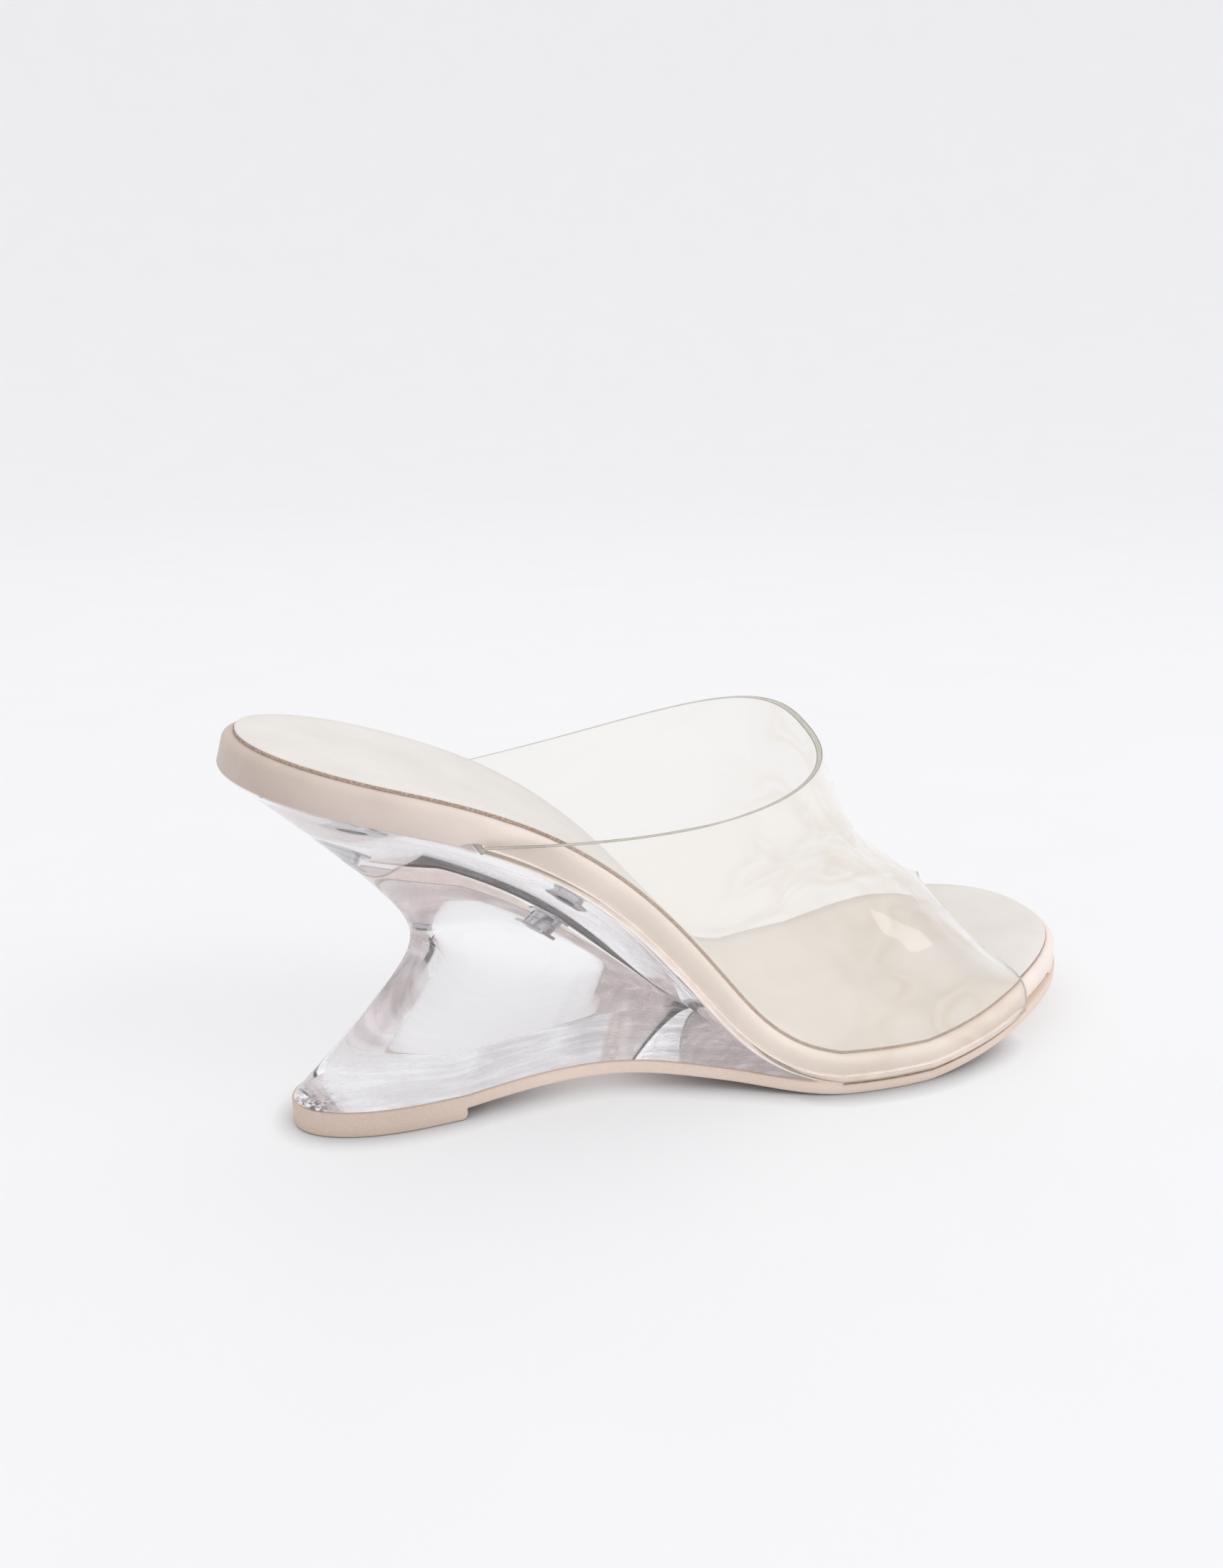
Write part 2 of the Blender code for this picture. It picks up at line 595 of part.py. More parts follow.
def clear_of_board(board, points):
    """Hold the wall's middle outside the board's edge wherever it passes beside it."""
    share, h = board.locate(points)
    fine = np.linspace(0.0, 1.0, 4 * OUTLINE_STATIONS + 1)
    outline = ring(fine * FOOTBED_LENGTH, *board.edges(fine))
    away = outward(outline)
    plan = np.stack([share * FOOTBED_LENGTH, points[:, 1]], 1)
    offset = plan[:, None] - outline[None]
    nearest = np.argmin((offset ** 2).sum(2), axis=1)
    distance = (offset[np.arange(len(plan)), nearest] * away[nearest]).sum(1)
    apart = SEAT_GAP + WALL / 2 + CLEAR_MARGIN
    beside = smooth((board.thickness(share) + WALL - h) / (2 * WALL))
    push = away[nearest] * (np.maximum(apart - distance, 0.0) * beside)[:, None]
    nx = np.interp(share, board.share, board.normal[:, 0])
    nz = np.interp(share, board.share, board.normal[:, 1])
    return points + np.stack([push[:, 0] * nz, push[:, 1], -push[:, 0] * nx], 1)


def build_upper(board):
    """One clear band, open at collar and toe, turned in beneath the board on both sides."""
    ribs = np.array([band_rib(board, position) for position in np.linspace(0.0, 1.0, BAND_RIBS + 1)])
    rows, columns = ribs.shape[:2]
    vertices = ribs.reshape(-1, 3)
    faces = []
    for i in range(rows - 1):
        for j in range(columns - 1):
            a = i * columns + j
            faces.append((a, a + columns, a + columns + 1, a + 1))
    upper = make_object("upper", vertices, faces)
    wall = upper.modifiers.new("wall", "SOLIDIFY")
    wall.thickness = WALL
    wall.offset = 0.0
    wall.use_even_offset = True
    wall.use_quality_normals = True


def new_collection(name):
    collection = bpy.data.collections.new(name)
    bpy.context.scene.collection.children.link(collection)
    return collection


for old in list(bpy.data.objects):
    bpy.data.objects.remove(old, do_unlink=True)
MODEL = new_collection("wedge_shoe")
MODEL_CUTTERS = new_collection("cutters")


def main():
    board = Board()
    build_outsole(board)
    build_wedge(board)
    build_footbed(board)
    build_sock(board)
    build_upper(board)
    for name, share in FASTENER_SHARES.items():
        build_fastener(board, name, share)


main()
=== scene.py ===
"""Looks of the clear wedge slip-on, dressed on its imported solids.

Metres, +X towards the toe, +Y towards the inner side, +Z up. Every form is worked out from the shoe's own
sizes: the board's side line and plan come first, and outsole, wedge, sock and band follow from them.
"""

import math
from collections import namedtuple

import bmesh
import bpy
import numpy as np
from mathutils import Matrix, Vector


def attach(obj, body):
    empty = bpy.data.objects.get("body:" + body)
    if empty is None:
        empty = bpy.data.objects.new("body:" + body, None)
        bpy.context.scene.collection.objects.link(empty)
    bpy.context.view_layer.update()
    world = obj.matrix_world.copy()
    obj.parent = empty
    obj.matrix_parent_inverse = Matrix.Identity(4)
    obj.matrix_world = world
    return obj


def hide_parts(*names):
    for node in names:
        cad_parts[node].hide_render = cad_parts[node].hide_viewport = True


MM = 0.001

# Sizes of the shoe, as its solids have them
SEAT_GAP = 0.3 * MM
FOOTBED_LENGTH = 245 * MM
FOOTBED_THICKNESS = 7.6 * MM
FOOTBED_EDGE_RADIUS = 2.0 * MM
HEEL_RISE = 83 * MM
TOE_SPRING = 8.7 * MM
BALL_HALF_WIDTH = 40 * MM
HEEL_OVERHANG = 27 * MM
HEEL_CURVE = 0.138
HEEL_ROUNDNESS = 2.15
TOE_CURVE = 0.194
TOE_ROUNDNESS = 2.28
SOCK_THICKNESS = 1.0 * MM
SOCK_INSET = 2.2 * MM
OUTSOLE_THICKNESS = 3.2 * MM
LIFT_THICKNESS = 6.0 * MM
LIFT_LENGTH = 38 * MM
LIFT_ROUNDNESS = 2.2
LIFT_CURVE = 0.24
ARCH_RISE = 5.3 * MM
ARCH_CREST = 0.38
BALL_CONTACT_X = 108 * MM
OUTSOLE_MARGIN = 0.4 * MM
OUTSOLE_EDGE = 0.6 * MM
WAIST_BLEND = 0.78
STEP_RADIUS = 1.2 * MM
STEP_LEAN = 0.02 * MM
STEP_CLEAR = 1.2
WEDGE_TIP = 0.5 * MM
WEDGE_INSET = 0.5 * MM
NOTCH_DEPTH = 33 * MM
NOTCH_LEVEL = 0.46
NOTCH_ROUNDNESS = 0.10
FLARE_DEPTH = 40 * MM
WAIST_ROUNDING = 10 * MM
WAIST_PINCH = 5.0 * MM
PINCH_LEVELS = (0.05, 0.95)
WALL = 1.5 * MM
LASTING_MARGIN = 8 * MM
TURN_RADIUS = 1.0 * MM
COLLAR_HEIGHT = 81.5 * MM
COLLAR_SWEEP = 2.2
SWEEP_FADE = 0.33
CLEAR_MARGIN = 0.1 * MM
FLANGE_DIAMETER = 12.5 * MM
FLANGE_THICKNESS = 1.1 * MM
BARREL_DIAMETER = 8.4 * MM
FASTENER_LENGTH = 8.0 * MM
FASTENER_SINK = 5.0 * MM
FASTENER_SHARES = {"fastener_rear": 0.130, "fastener_front": 0.345}

BoardRow = namedtuple("BoardRow", "share heel toe outer inner swing thick")
BOARD_ROWS = [
    BoardRow(0.00, 1.000, 0.00, 0.720, 0.745, 0.012, 1.00),
    BoardRow(0.12, 0.896, 0.00, 0.742, 0.742, 0.008, 1.00),
    BoardRow(0.25, 0.750, 0.00, 0.728, 0.685, 0.000, 1.00),
    BoardRow(0.38, 0.516, 0.00, 0.692, 0.615, -0.002, 0.99),
    BoardRow(0.50, 0.244, 0.00, 0.733, 0.645, -0.005, 0.96),
    BoardRow(0.60, 0.046, 0.00, 0.882, 0.792, 0.015, 0.88),
    BoardRow(0.70, -0.010, 0.00, 1.020, 0.920, 0.038, 0.81),
    BoardRow(0.80, 0.000, 0.22, 1.010, 0.960, 0.058, 0.80),
    BoardRow(0.90, 0.000, 0.75, 0.905, 0.920, 0.082, 0.84),
    BoardRow(1.00, 0.000, 1.00, 0.800, 0.838, 0.105, 0.90),
]

WaistRow = namedtuple("WaistRow", "share outer inner")
WAIST_ROWS = [
    WaistRow(0.00, 0.420, 0.285),
    WaistRow(0.20, 0.420, 0.285),
    WaistRow(0.40, 0.405, 0.272),
    WaistRow(0.60, 0.465, 0.330),
    WaistRow(0.80, 0.690, 0.580),
    WaistRow(1.00, 0.930, 0.850),
]

BandRow = namedtuple("BandRow", "outer inner crown height square lean tilt")
BAND_ROWS = [
    BandRow(0.212, 0.210, 0.567, 1.000, 3.0, 1.0, 0.120),
    BandRow(0.365, 0.370, 0.582, 0.860, 2.8, 1.0, 0.060),
    BandRow(0.500, 0.510, 0.603, 0.712, 2.8, 1.0, 0.025),
    BandRow(0.600, 0.620, 0.634, 0.601, 2.9, 1.0, 0.010),
    BandRow(0.700, 0.730, 0.675, 0.518, 3.1, 1.1, 0.000),
    BandRow(0.790, 0.830, 0.714, 0.405, 3.8, 1.8, 0.000),
    BandRow(0.875, 0.930, 0.757, 0.284, 5.0, 4.0, 0.000),
]

# Creases of the band: middle, slant, length and width as shares of its length and girth, and their rise.
# They fade out towards the board over the last share of the girth
Fold = namedtuple("Fold", "along across slant length width rise")
FOLDS = [
    Fold(0.30, 0.66, -0.10, 0.30, 0.060, -0.30 * MM),
    Fold(0.45, 0.70, -0.15, 0.28, 0.060, 0.30 * MM),
    Fold(0.66, 0.68, -0.20, 0.16, 0.050, -0.35 * MM),
    Fold(0.60, 0.30, 0.05, 0.30, 0.050, -0.40 * MM),
    Fold(0.80, 0.36, -0.12, 0.18, 0.045, 0.40 * MM),
    Fold(0.10, 0.30, 0.30, 0.10, 0.035, -0.45 * MM),
]
FOLD_FREE = 0.22

# Small roundings and clearances of the dressed pieces
OUTSOLE_CORNER = 0.15 * MM
FOOTBED_CORNER = 0.4 * MM
SOCK_CORNER = 0.25 * MM
SOCK_SEAT = 0.05 * MM
RABBET_LEAST = 0.1 * MM
RABBET_REACH = 0.02
RABBET_FADE = 0.01
RABBET_ROOM = 1.0 * MM
BORE_SHARE = 0.62
FLANGE_EDGE = 0.15 * MM
BARREL_GROOVE = 0.25 * MM

# Fineness of the meshes
OUTLINE_STATIONS = 150
CAP_COLUMNS = 14
WEDGE_STATIONS = 130
WEDGE_RINGS = 90
BAND_RIBS = 90
BAND_COLUMNS = 150
TURN_POINTS = 6
RIB_SAMPLES = 600
SLOPE_STEP = 0.002
RELAXED_TIMES = 12
RELAXED_FROM = 4
STEP_POINTS = 7
OUTSOLE_EDGE_POINTS = 4
FOOTBED_EDGE_POINTS = 9
SLEEVE_SIDES = 48
WELD = 0.0001 * MM

# The photograph's camera: its place in the shoe's frame and where it looks
CAMERA_AZIMUTH = math.radians(-23.405)
CAMERA_ELEVATION = math.radians(20.989)
CAMERA_DISTANCE = 302.5 * MM
CAMERA_TARGET = Vector((83 * MM, 0.0, 50 * MM))
CAMERA_TURN = 0.069
CAMERA_TILT = -0.061
CAMERA_ROLL = math.radians(-0.609)
FOCAL_PIXELS = 1689
IMAGE_HEIGHT = 2184
SENSOR = 36.0
NEAREST_SEEN = 0.01

# The leather's dent where the collar's end pulls on it, as shares of the board's length and a depth
DENT_OFFSET = 0.012
DENT_SPREAD = 0.012
DENT_DEPTH = 0.9 * MM

# Fibres of the sock's raw edge, and the bead of cement that has been pressed out at the forefoot
FIBRE_SPACING = 0.32 * MM
FIBRE_LENGTH = 0.55 * MM
FIBRE_THICKNESS = 0.07 * MM
FIBRE_SCALES = (0.4, 1.2)
BEAD_RADIUS = 0.34 * MM
BEAD_STEP = 0.7 * MM
BEAD_SHARES = (0.655, 0.872)
BEAD_SCALES = (0.4, 1.1)
BEAD_SIDES = 6
BEAD_POINTS = 90

# Bare rim round the faces that are whitened by cement
BARE_MARGIN = 1.1 * MM

# Dirt caught under the wedge's back corner, and a painted dark reflection there: its place and how far they
# spread
SMUDGE_AND_REFLECTION_PLACE = (-15 * MM, -8 * MM, 6 * MM)
SMUDGE_AND_REFLECTION_SPREAD = 9 * MM

# Dark line along each corner of the vinyl's cut edge at the collar
EDGE_LINE = 0.22 * MM

# Cement film on the wedge's top: how far in from the edge it ends, and how wavily
FILM_INSET = 8 * MM
FILM_WAVES = 6 * MM

# Refraction of the clear plastics, how much light passes their cement films, and after how many reflections
# inside a clear piece light passes straight on
ACRYLIC_INDEX = 1.49
VINYL_INDEX = 1.5
FILM_LAMPS = 0.92
REFLECTIONS = 2

# Height of the leathers' grain
GRAIN_DEPTH = 0.03 * MM

# Finishes of the band, in the order of its material slots
VINYL, CUT_EDGE, MARGIN, CORNER_LINE = range(4)

# The studio: a floor whose rim curves up all round, how much it glows, and how near a piece stops the glow,
# which paints a contact shadow under it
FLOOR_FLAT = 0.35
FLOOR_RADIUS = 1.6
FLOOR_SIDES = 72
SWEEP_RINGS = 16
SWEEP_RADIUS = 1.4
BACKDROP_HEIGHT = 2.6
FLOOR_GLOW = 0.46
CONTACT_REACH = 6 * MM
SKY_STRENGTH = 0.90
Softbox = namedtuple("Softbox", "name place size power")
SOFTBOXES = [
    Softbox("key", (0.8, -1.0, 1.2), (0.9, 0.7), 6.0),
    Softbox("top", (-0.3, 0.5, 1.8), (1.6, 1.2), 4.0),
]


def spline(knots, values, at):
    """Natural cubic spline through a short table."""
    knots = np.asarray(knots, float)
    values = np.asarray(values, float)
    steps = np.diff(knots)
    slopes = np.diff(values) / steps
    size = len(knots)
    matrix = np.eye(size)
    right = np.zeros(size)
    for i in range(1, size - 1):
        matrix[i, i - 1:i + 2] = (steps[i - 1], 2 * (steps[i - 1] + steps[i]), steps[i])
        right[i] = 6 * (slopes[i] - slopes[i - 1])
    bend = np.linalg.solve(matrix, right)
    at = np.asarray(at, float)
    k = np.clip(np.searchsorted(knots, at) - 1, 0, size - 2)
    a = knots[k + 1] - at
    b = at - knots[k]
    h = steps[k]
    cubic = (bend[k] * a ** 3 + bend[k + 1] * b ** 3) / (6 * h)
    return cubic + (values[k] / h - bend[k] * h / 6) * a + (values[k + 1] / h - bend[k + 1] * h / 6) * b


def column(rows, name, at):
    return spline([row.share for row in rows], [getattr(row, name) for row in rows], at)


def smooth(x):
    x = np.clip(x, 0.0, 1.0)
    return x * x * (3 - 2 * x)


def rounded_end(x, power):
    """Rises from 0 to 1 along a superelliptic quarter as x goes from 0 to 1."""
    return np.maximum(1 - (1 - np.clip(x, 0.0, 1.0)) ** power, 0.0) ** (1 / power)


def quarter(points):
    return np.linspace(0.0, math.pi / 2, points)


def dense_to_ends(count):
    return 0.5 - 0.5 * np.cos(np.linspace(0.0, math.pi, count + 1))


class Board:
    """The board's side line and plan. Places on it are a share of the length, y across and a height h."""

    def __init__(self, samples=1200):
        self.share = np.linspace(0.0, 1.0, samples + 1)
        rise = HEEL_RISE * column(BOARD_ROWS, "heel", self.share)
        spring = TOE_SPRING * column(BOARD_ROWS, "toe", self.share)
        self.z = OUTSOLE_THICKNESS + SEAT_GAP + np.maximum(rise + spring, 0.0)
        climb = np.gradient(self.z, self.share)
        run = np.sqrt(FOOTBED_LENGTH ** 2 - climb ** 2)
        steps = (run[1:] + run[:-1]) / 2 * np.diff(self.share)
        self.x = -HEEL_OVERHANG + np.concatenate([[0.0], np.cumsum(steps)])
        self.normal = np.stack([-climb, run], 1) / FOOTBED_LENGTH

    def place(self, share, y, h):
        share, y, h = np.broadcast_arrays(share, y, h)
        inside = np.clip(share, 0.0, 1.0)
        beyond = (share - inside) * FOOTBED_LENGTH
        nx = np.interp(inside, self.share, self.normal[:, 0])
        nz = np.interp(inside, self.share, self.normal[:, 1])
        x = np.interp(inside, self.share, self.x) + beyond * nz + h * nx
        z = np.interp(inside, self.share, self.z) - beyond * nx + h * nz
        return np.stack([x, y, z], -1)

    def locate(self, points):
        """Share of the length and height above the underside of world points."""
        dx = points[:, None, 0] - self.x[None]
        dz = points[:, None, 2] - self.z[None]
        near = np.argmin(dx * dx + dz * dz, axis=1)
        rows = np.arange(len(points))
        dx = dx[rows, near]
        dz = dz[rows, near]
        nx = self.normal[near, 0]
        nz = self.normal[near, 1]
        return self.share[near] + (dx * nz - dz * nx) / FOOTBED_LENGTH, dx * nx + dz * nz

    def thickness(self, share):
        return FOOTBED_THICKNESS * column(BOARD_ROWS, "thick", np.clip(share, 0.0, 1.0))

    def share_at(self, x):
        return np.interp(x, self.x, self.share)

    def height_at(self, x):
        return np.interp(x, self.x, self.z)

    def edges(self, share):
        """Outer and inner edge across the board, with both ends rounded."""
        ends = rounded_end(share / HEEL_CURVE, HEEL_ROUNDNESS)
        ends = ends * rounded_end((1 - share) / TOE_CURVE, TOE_ROUNDNESS)
        swing = BALL_HALF_WIDTH * column(BOARD_ROWS, "swing", share)
        outer = swing - BALL_HALF_WIDTH * column(BOARD_ROWS, "outer", share) * ends
        inner = swing + BALL_HALF_WIDTH * column(BOARD_ROWS, "inner", share) * ends
        return outer, inner


def ring(along, outer, inner):
    """Closed outline: the outer edge from back to front, then the inner edge back again."""
    return np.concatenate([np.stack([along, outer], 1), np.stack([along, inner], 1)[:0:-1]])


def outward(outline):
    """Unit normals of a closed outline that runs counter-clockwise."""
    same = np.linalg.norm(np.roll(outline, -1, 0) - outline, axis=1) < WELD
    ahead = np.roll(outline, -1, 0)
    ahead[same] = np.roll(outline, -2, 0)[same]
    behind = np.roll(outline, 1, 0)
    repeat = np.roll(same, 1)
    behind[repeat] = np.roll(outline, 2, 0)[repeat]
    tangent = ahead - behind
    tangent /= np.linalg.norm(tangent, axis=1)[:, None]
    return np.stack([tangent[:, 1], -tangent[:, 0]], 1)


def inset(outline, distance):
    """The outline drawn in by a distance, one for all of it or one for each point."""
    return outline - outward(outline) * np.asarray(distance)[..., None]


def board_outline(board):
    share = dense_to_ends(OUTLINE_STATIONS)
    outer, inner = board.edges(share)
    return ring(share * FOOTBED_LENGTH, outer, inner)


def on_board(board, outline, h):
    return board.place(outline[:, 0] / FOOTBED_LENGTH, outline[:, 1], h)


def outsole_back():
    return -LIFT_LENGTH / 2


def outsole_underside(board, x):
    start = LIFT_LENGTH / 2
    along = (x - start) / (BALL_CONTACT_X - start)
    step = LIFT_THICKNESS - OUTSOLE_THICKNESS
    arch = step + (ARCH_RISE - step) * np.sin(math.pi / 2 * np.clip(along / ARCH_CREST, 0.0, 1.0))
    arch = arch * (1 - smooth((along - ARCH_CREST) / (1 - ARCH_CREST)))
    under_board = board.height_at(x) - SEAT_GAP - OUTSOLE_THICKNESS
    ball = board.x[np.argmin(board.z)]
    return np.where(x < ball, arch, under_board)


def outsole_edges(board, x):
    waist = BALL_CONTACT_X - outsole_back()
    share = (x - outsole_back()) / waist
    ends = rounded_end(share / LIFT_CURVE, LIFT_ROUNDNESS)
    own = np.clip(share, 0.0, 1.0)
    outer = -BALL_HALF_WIDTH * column(WAIST_ROWS, "outer", own)
    inner = BALL_HALF_WIDTH * column(WAIST_ROWS, "inner", own)
    centre = (outer + inner) / 2
    outer = centre + (outer - centre) * ends
    inner = centre + (inner - centre) * ends
    plan = inset(board_outline(board), -OUTSOLE_MARGIN)
    half = OUTLINE_STATIONS + 1
    placed = on_board(board, plan, 0.0)
    front_outer = np.interp(x, placed[:half, 0], placed[:half, 1])
    back_again = np.concatenate([placed[:1], placed[:half - 1:-1], placed[half - 1:half]])
    front_inner = np.interp(x, back_again[:, 0], back_again[:, 1])
    blend = smooth((share - WAIST_BLEND) / (1 - WAIST_BLEND))
    return outer + (front_outer - outer) * blend, inner + (front_inner - inner) * blend


def new_mesh(name, vertices, faces, materials, slots=None, sharp=40, rim=None):
    """A smooth-shaded object; slots gives each face's material, rim each point's way in from the edge."""
    mesh = bpy.data.meshes.new(name)
    mesh.from_pydata([tuple(v) for v in vertices], [], faces)
    if rim is not None:
        mesh.attributes.new("rim", "FLOAT", "POINT").data.foreach_set("value", rim)
    for material in materials:
        mesh.materials.append(material)
    if slots is not None:
        mesh.polygons.foreach_set("material_index", slots)
    clean = bmesh.new()
    clean.from_mesh(mesh)
    bmesh.ops.remove_doubles(clean, verts=clean.verts, dist=WELD)
    clean.to_mesh(mesh)
    clean.free()
    mesh.shade_smooth()
    mesh.set_sharp_from_angle(angle=math.radians(sharp))
    obj = bpy.data.objects.new(name, mesh)
    bpy.context.scene.collection.objects.link(obj)
    return obj


def wall(low, high, count):
    """Faces between two rings of points, which start at the numbers low and high."""
    return [(low + i, low + (i + 1) % count, high + (i + 1) % count, high + i) for i in range(count)]


def no_repeats(face):
    kept = [v for i, v in enumerate(face) if v != face[i - 1]]
    return tuple(kept) if len(set(kept)) > 2 else None


def capped(rings):
    """A closed body from outlines laid one above the other: vertices, faces, levels and rim distances.

    The level of a face is that of the ring below it, -1 at the bottom and the number of rings on top.
    """
    count = len(rings[0])
    half = count // 2
    vertices = list(np.concatenate(rings))
    faces = []
    where = []
    for level in range(len(rings) - 1):
        faces += wall(level * count, (level + 1) * count, count)
        where += [level] * count
    for top, base in ((False, 0), (True, (len(rings) - 1) * count)):
        rows = []
        for i in range(half + 1):
            near = base + i
            far = base + (count - i) % count
            row = [near]
            for k in range(1, CAP_COLUMNS):
                if i in (0, half):
                    row.append(near)
                    continue
                share = k / CAP_COLUMNS
                row.append(len(vertices))
                vertices.append(vertices[near] * (1 - share) + vertices[far] * share)
            row.append(far)
            rows.append(row)
        for i in range(half):
            for k in range(CAP_COLUMNS):
                face = (rows[i][k], rows[i + 1][k], rows[i + 1][k + 1], rows[i][k + 1])
                face = no_repeats(face)
                if face is None:
                    continue
                faces.append(face if top else tuple(reversed(face)))
                where.append(len(rings) if top else -1)
    vertices = np.array(vertices)
    rim = np.zeros(len(vertices))
    inner = np.arange(len(rings) * count, len(vertices))
    for ends in (rings[0], rings[-1]):
        near = np.min(np.linalg.norm(vertices[inner, None] - ends[None], axis=2), axis=1)
        rim[inner] = np.where(rim[inner] > 0.0, np.minimum(rim[inner], near), near)
    return vertices, faces, np.array(where), rim


# Materials

def fill(tree, made, values):
    """Set a node's inputs, or link them where the value is another node's output."""
    for key, value in values.items():
        if isinstance(value, bpy.types.NodeSocket):
            tree.links.new(value, made.inputs[key])
        else:
            made.inputs[key].default_value = value


def put(tree, kind, values=None, **settings):
    """A new node with its settings and its inputs filled."""
    made = tree.nodes.new(kind)
    for key, value in settings.items():
        setattr(made, key, value)
    fill(tree, made, values or {})
    return made


def material(name):
    made = bpy.data.materials.new(name)
    made.use_nodes = True
    tree = made.node_tree
    return made, tree, tree.nodes["Principled BSDF"]


def object_place(tree):
    return put(tree, "ShaderNodeTexCoord").outputs["Object"]


def object_noise(tree, size, detail=3.0, roughness=0.5, stretch=(1.0, 1.0, 1.0)):
    """Noise whose blotches are about size across, in the piece's own coordinates."""
    mapping = put(tree, "ShaderNodeMapping", {"Vector": object_place(tree), "Scale": stretch})
    values = {"Vector": mapping.outputs["Vector"], "Scale": 1.0 / size, "Detail": detail,
              "Roughness": roughness}
    return put(tree, "ShaderNodeTexNoise", values).outputs["Fac"]


def tones(tree, source, stops):
    """A ramp of colours over a value, stops as (place, colour)."""
    ramp = put(tree, "ShaderNodeValToRGB", {"Fac": source})
    elements = ramp.color_ramp.elements
    while len(elements) < len(stops):
        elements.new(0.5)
    for element, (place, colour) in zip(elements, stops):
        element.position = place
        element.color = (*colour, 1.0)
    return ramp.outputs["Color"]


def mottling(low, high):
    """Stops of a ramp that turns from one colour to another over the middle of a noise."""
    return [(0.3, low), (0.7, high)]


def levels(tree, source, low, high, to_low, to_high):
    values = {"Value": source, "From Min": low, "From Max": high, "To Min": to_low, "To Max": to_high}
    return put(tree, "ShaderNodeMapRange", values).outputs["Result"]


def calc(tree, operation, *values, clamp=False):
    made = put(tree, "ShaderNodeMath", dict(enumerate(values)), operation=operation, use_clamp=clamp)
    return made.outputs["Value"]


def mixed(tree, share, first, second):
    """A blend of two colours."""
    blend = put(tree, "ShaderNodeMix", {"Factor": share, "A": first, "B": second}, data_type="RGBA")
    return blend.outputs["Result"]


def bumped(tree, shader, *layers):
    """Bump layers of (height source, depth in metres), the coarse one first."""
    normal = {}
    for source, depth in layers:
        bump = put(tree, "ShaderNodeBump", {"Height": source, "Distance": depth, **normal})
        normal = {"Normal": bump.outputs["Normal"]}
    fill(tree, shader, normal)


def paler_forward(tree, dark, pale, start, end):
    """One colour turning into a paler one between two places along the shoe."""
    split = put(tree, "ShaderNodeSeparateXYZ", {"Vector": object_place(tree)})
    return mixed(tree, levels(tree, split.outputs["X"], start, end, 0.0, 1.0), dark, pale)


def lamp_through(tree, shader, strength):
    """Let lamps and light that has turned often enough pass a clear piece, with the given strength."""
    path = put(tree, "ShaderNodeLightPath")
    turned = calc(tree, "GREATER_THAN", path.outputs["Glossy Depth"], REFLECTIONS - 0.5)
    passes = calc(tree, "MAXIMUM", path.outputs["Is Shadow Ray"], turned)
    through = put(tree, "ShaderNodeBsdfTransparent", {"Color": (strength, strength, strength, 1.0)})
    values = {"Fac": passes, 1: shader.outputs["BSDF"], 2: through.outputs["BSDF"]}
    mix = put(tree, "ShaderNodeMixShader", values)
    fill(tree, tree.nodes["Material Output"], {"Surface": mix.outputs["Shader"]})


def leather(name, grain_size, pore_size, pore_depth, gloss, tint, values):
    """A leather with fine grain, pores and uneven gloss; tint makes its colour in the material's tree."""
    made, tree, shader = material(name)
    grain = object_noise(tree, grain_size, 2.0)
    pores = object_noise(tree, pore_size, 4.0)
    roughness = levels(tree, pores, 0.3, 0.7, *gloss)
    fill(tree, shader, {"Base Color": tint(tree), "Roughness": roughness, **values})
    bumped(tree, shader, (pores, pore_depth), (grain, GRAIN_DEPTH))
    return made


def leather_finish():
    """Nude leather, darker at the heel and paler towards the waist: painted shade at the heel and painted
    light at the waist.
    """
    def tint(tree):
        blotch = object_noise(tree, 14 * MM)
        dark = tones(tree, blotch, mottling((0.53, 0.435, 0.38), (0.59, 0.49, 0.43)))
        pale = tones(tree, blotch, mottling((0.86, 0.76, 0.69), (0.93, 0.83, 0.76)))
        # The dark heel turning pale at the waist is painted shade and painted light.
        return paler_forward(tree, dark, pale, -20 * MM, 44 * MM)

    return leather("nude_leather", 0.35 * MM, 2.2 * MM, 0.06 * MM, (0.42, 0.54), tint, {"Sheen Weight": 0.1})


def sock_finish():
    def tint(tree):
        return tones(tree, object_noise(tree, 18 * MM), mottling((0.75, 0.71, 0.665), (0.81, 0.77, 0.725)))

    return leather("cream_leather", 0.4 * MM, 2.5 * MM, 0.05 * MM, (0.48, 0.60), tint, {})


def outsole_finish():
    """Beige soling, speckled, darker at the heel lift and paler towards the arch: painted shade at the lift
    and painted light at the arch.
    """
    made, tree, shader = material("beige_soling")
    speckle = object_noise(tree, 0.5 * MM, 4.0, 0.7)
    dark = tones(tree, speckle, mottling((0.59, 0.47, 0.39), (0.68, 0.545, 0.46)))
    pale = tones(tree, speckle, mottling((0.76, 0.61, 0.525), (0.84, 0.69, 0.595)))
    # The darker lift and paler arch are painted shade and painted light.
    fill(tree, shader, {"Base Color": paler_forward(tree, dark, pale, 5 * MM, 40 * MM), "Roughness": 0.55})
    bumped(tree, shader, (speckle, 0.04 * MM))
    return made


def mottled_finish(name, noise, stops, values, depth=0.0, glow=0.0, lamps=0.0):
    """A finish whose colour, bumps and glow follow one noise, the glow being painted light; lamps is how much
    of their light passes it.
    """
    made, tree, shader = material(name)
    pattern = object_noise(tree, *noise)
    colour = tones(tree, pattern, stops)
    fill(tree, shader, {"Base Color": colour, **values})
    if glow:
        fill(tree, shader, {"Emission Color": colour, "Emission Strength": glow})
    if depth:
        bumped(tree, shader, (pattern, depth))
    if lamps:
        lamp_through(tree, shader, lamps)
    return made


def raw_edge_finish(name):
    stops = [(0.35, (0.36, 0.26, 0.20)), (0.55, (0.56, 0.44, 0.36)), (0.7, (0.74, 0.63, 0.54))]
    return mottled_finish(name, (0.45 * MM, 5.0, 0.7), stops, {"Roughness": 0.9}, 0.25 * MM)


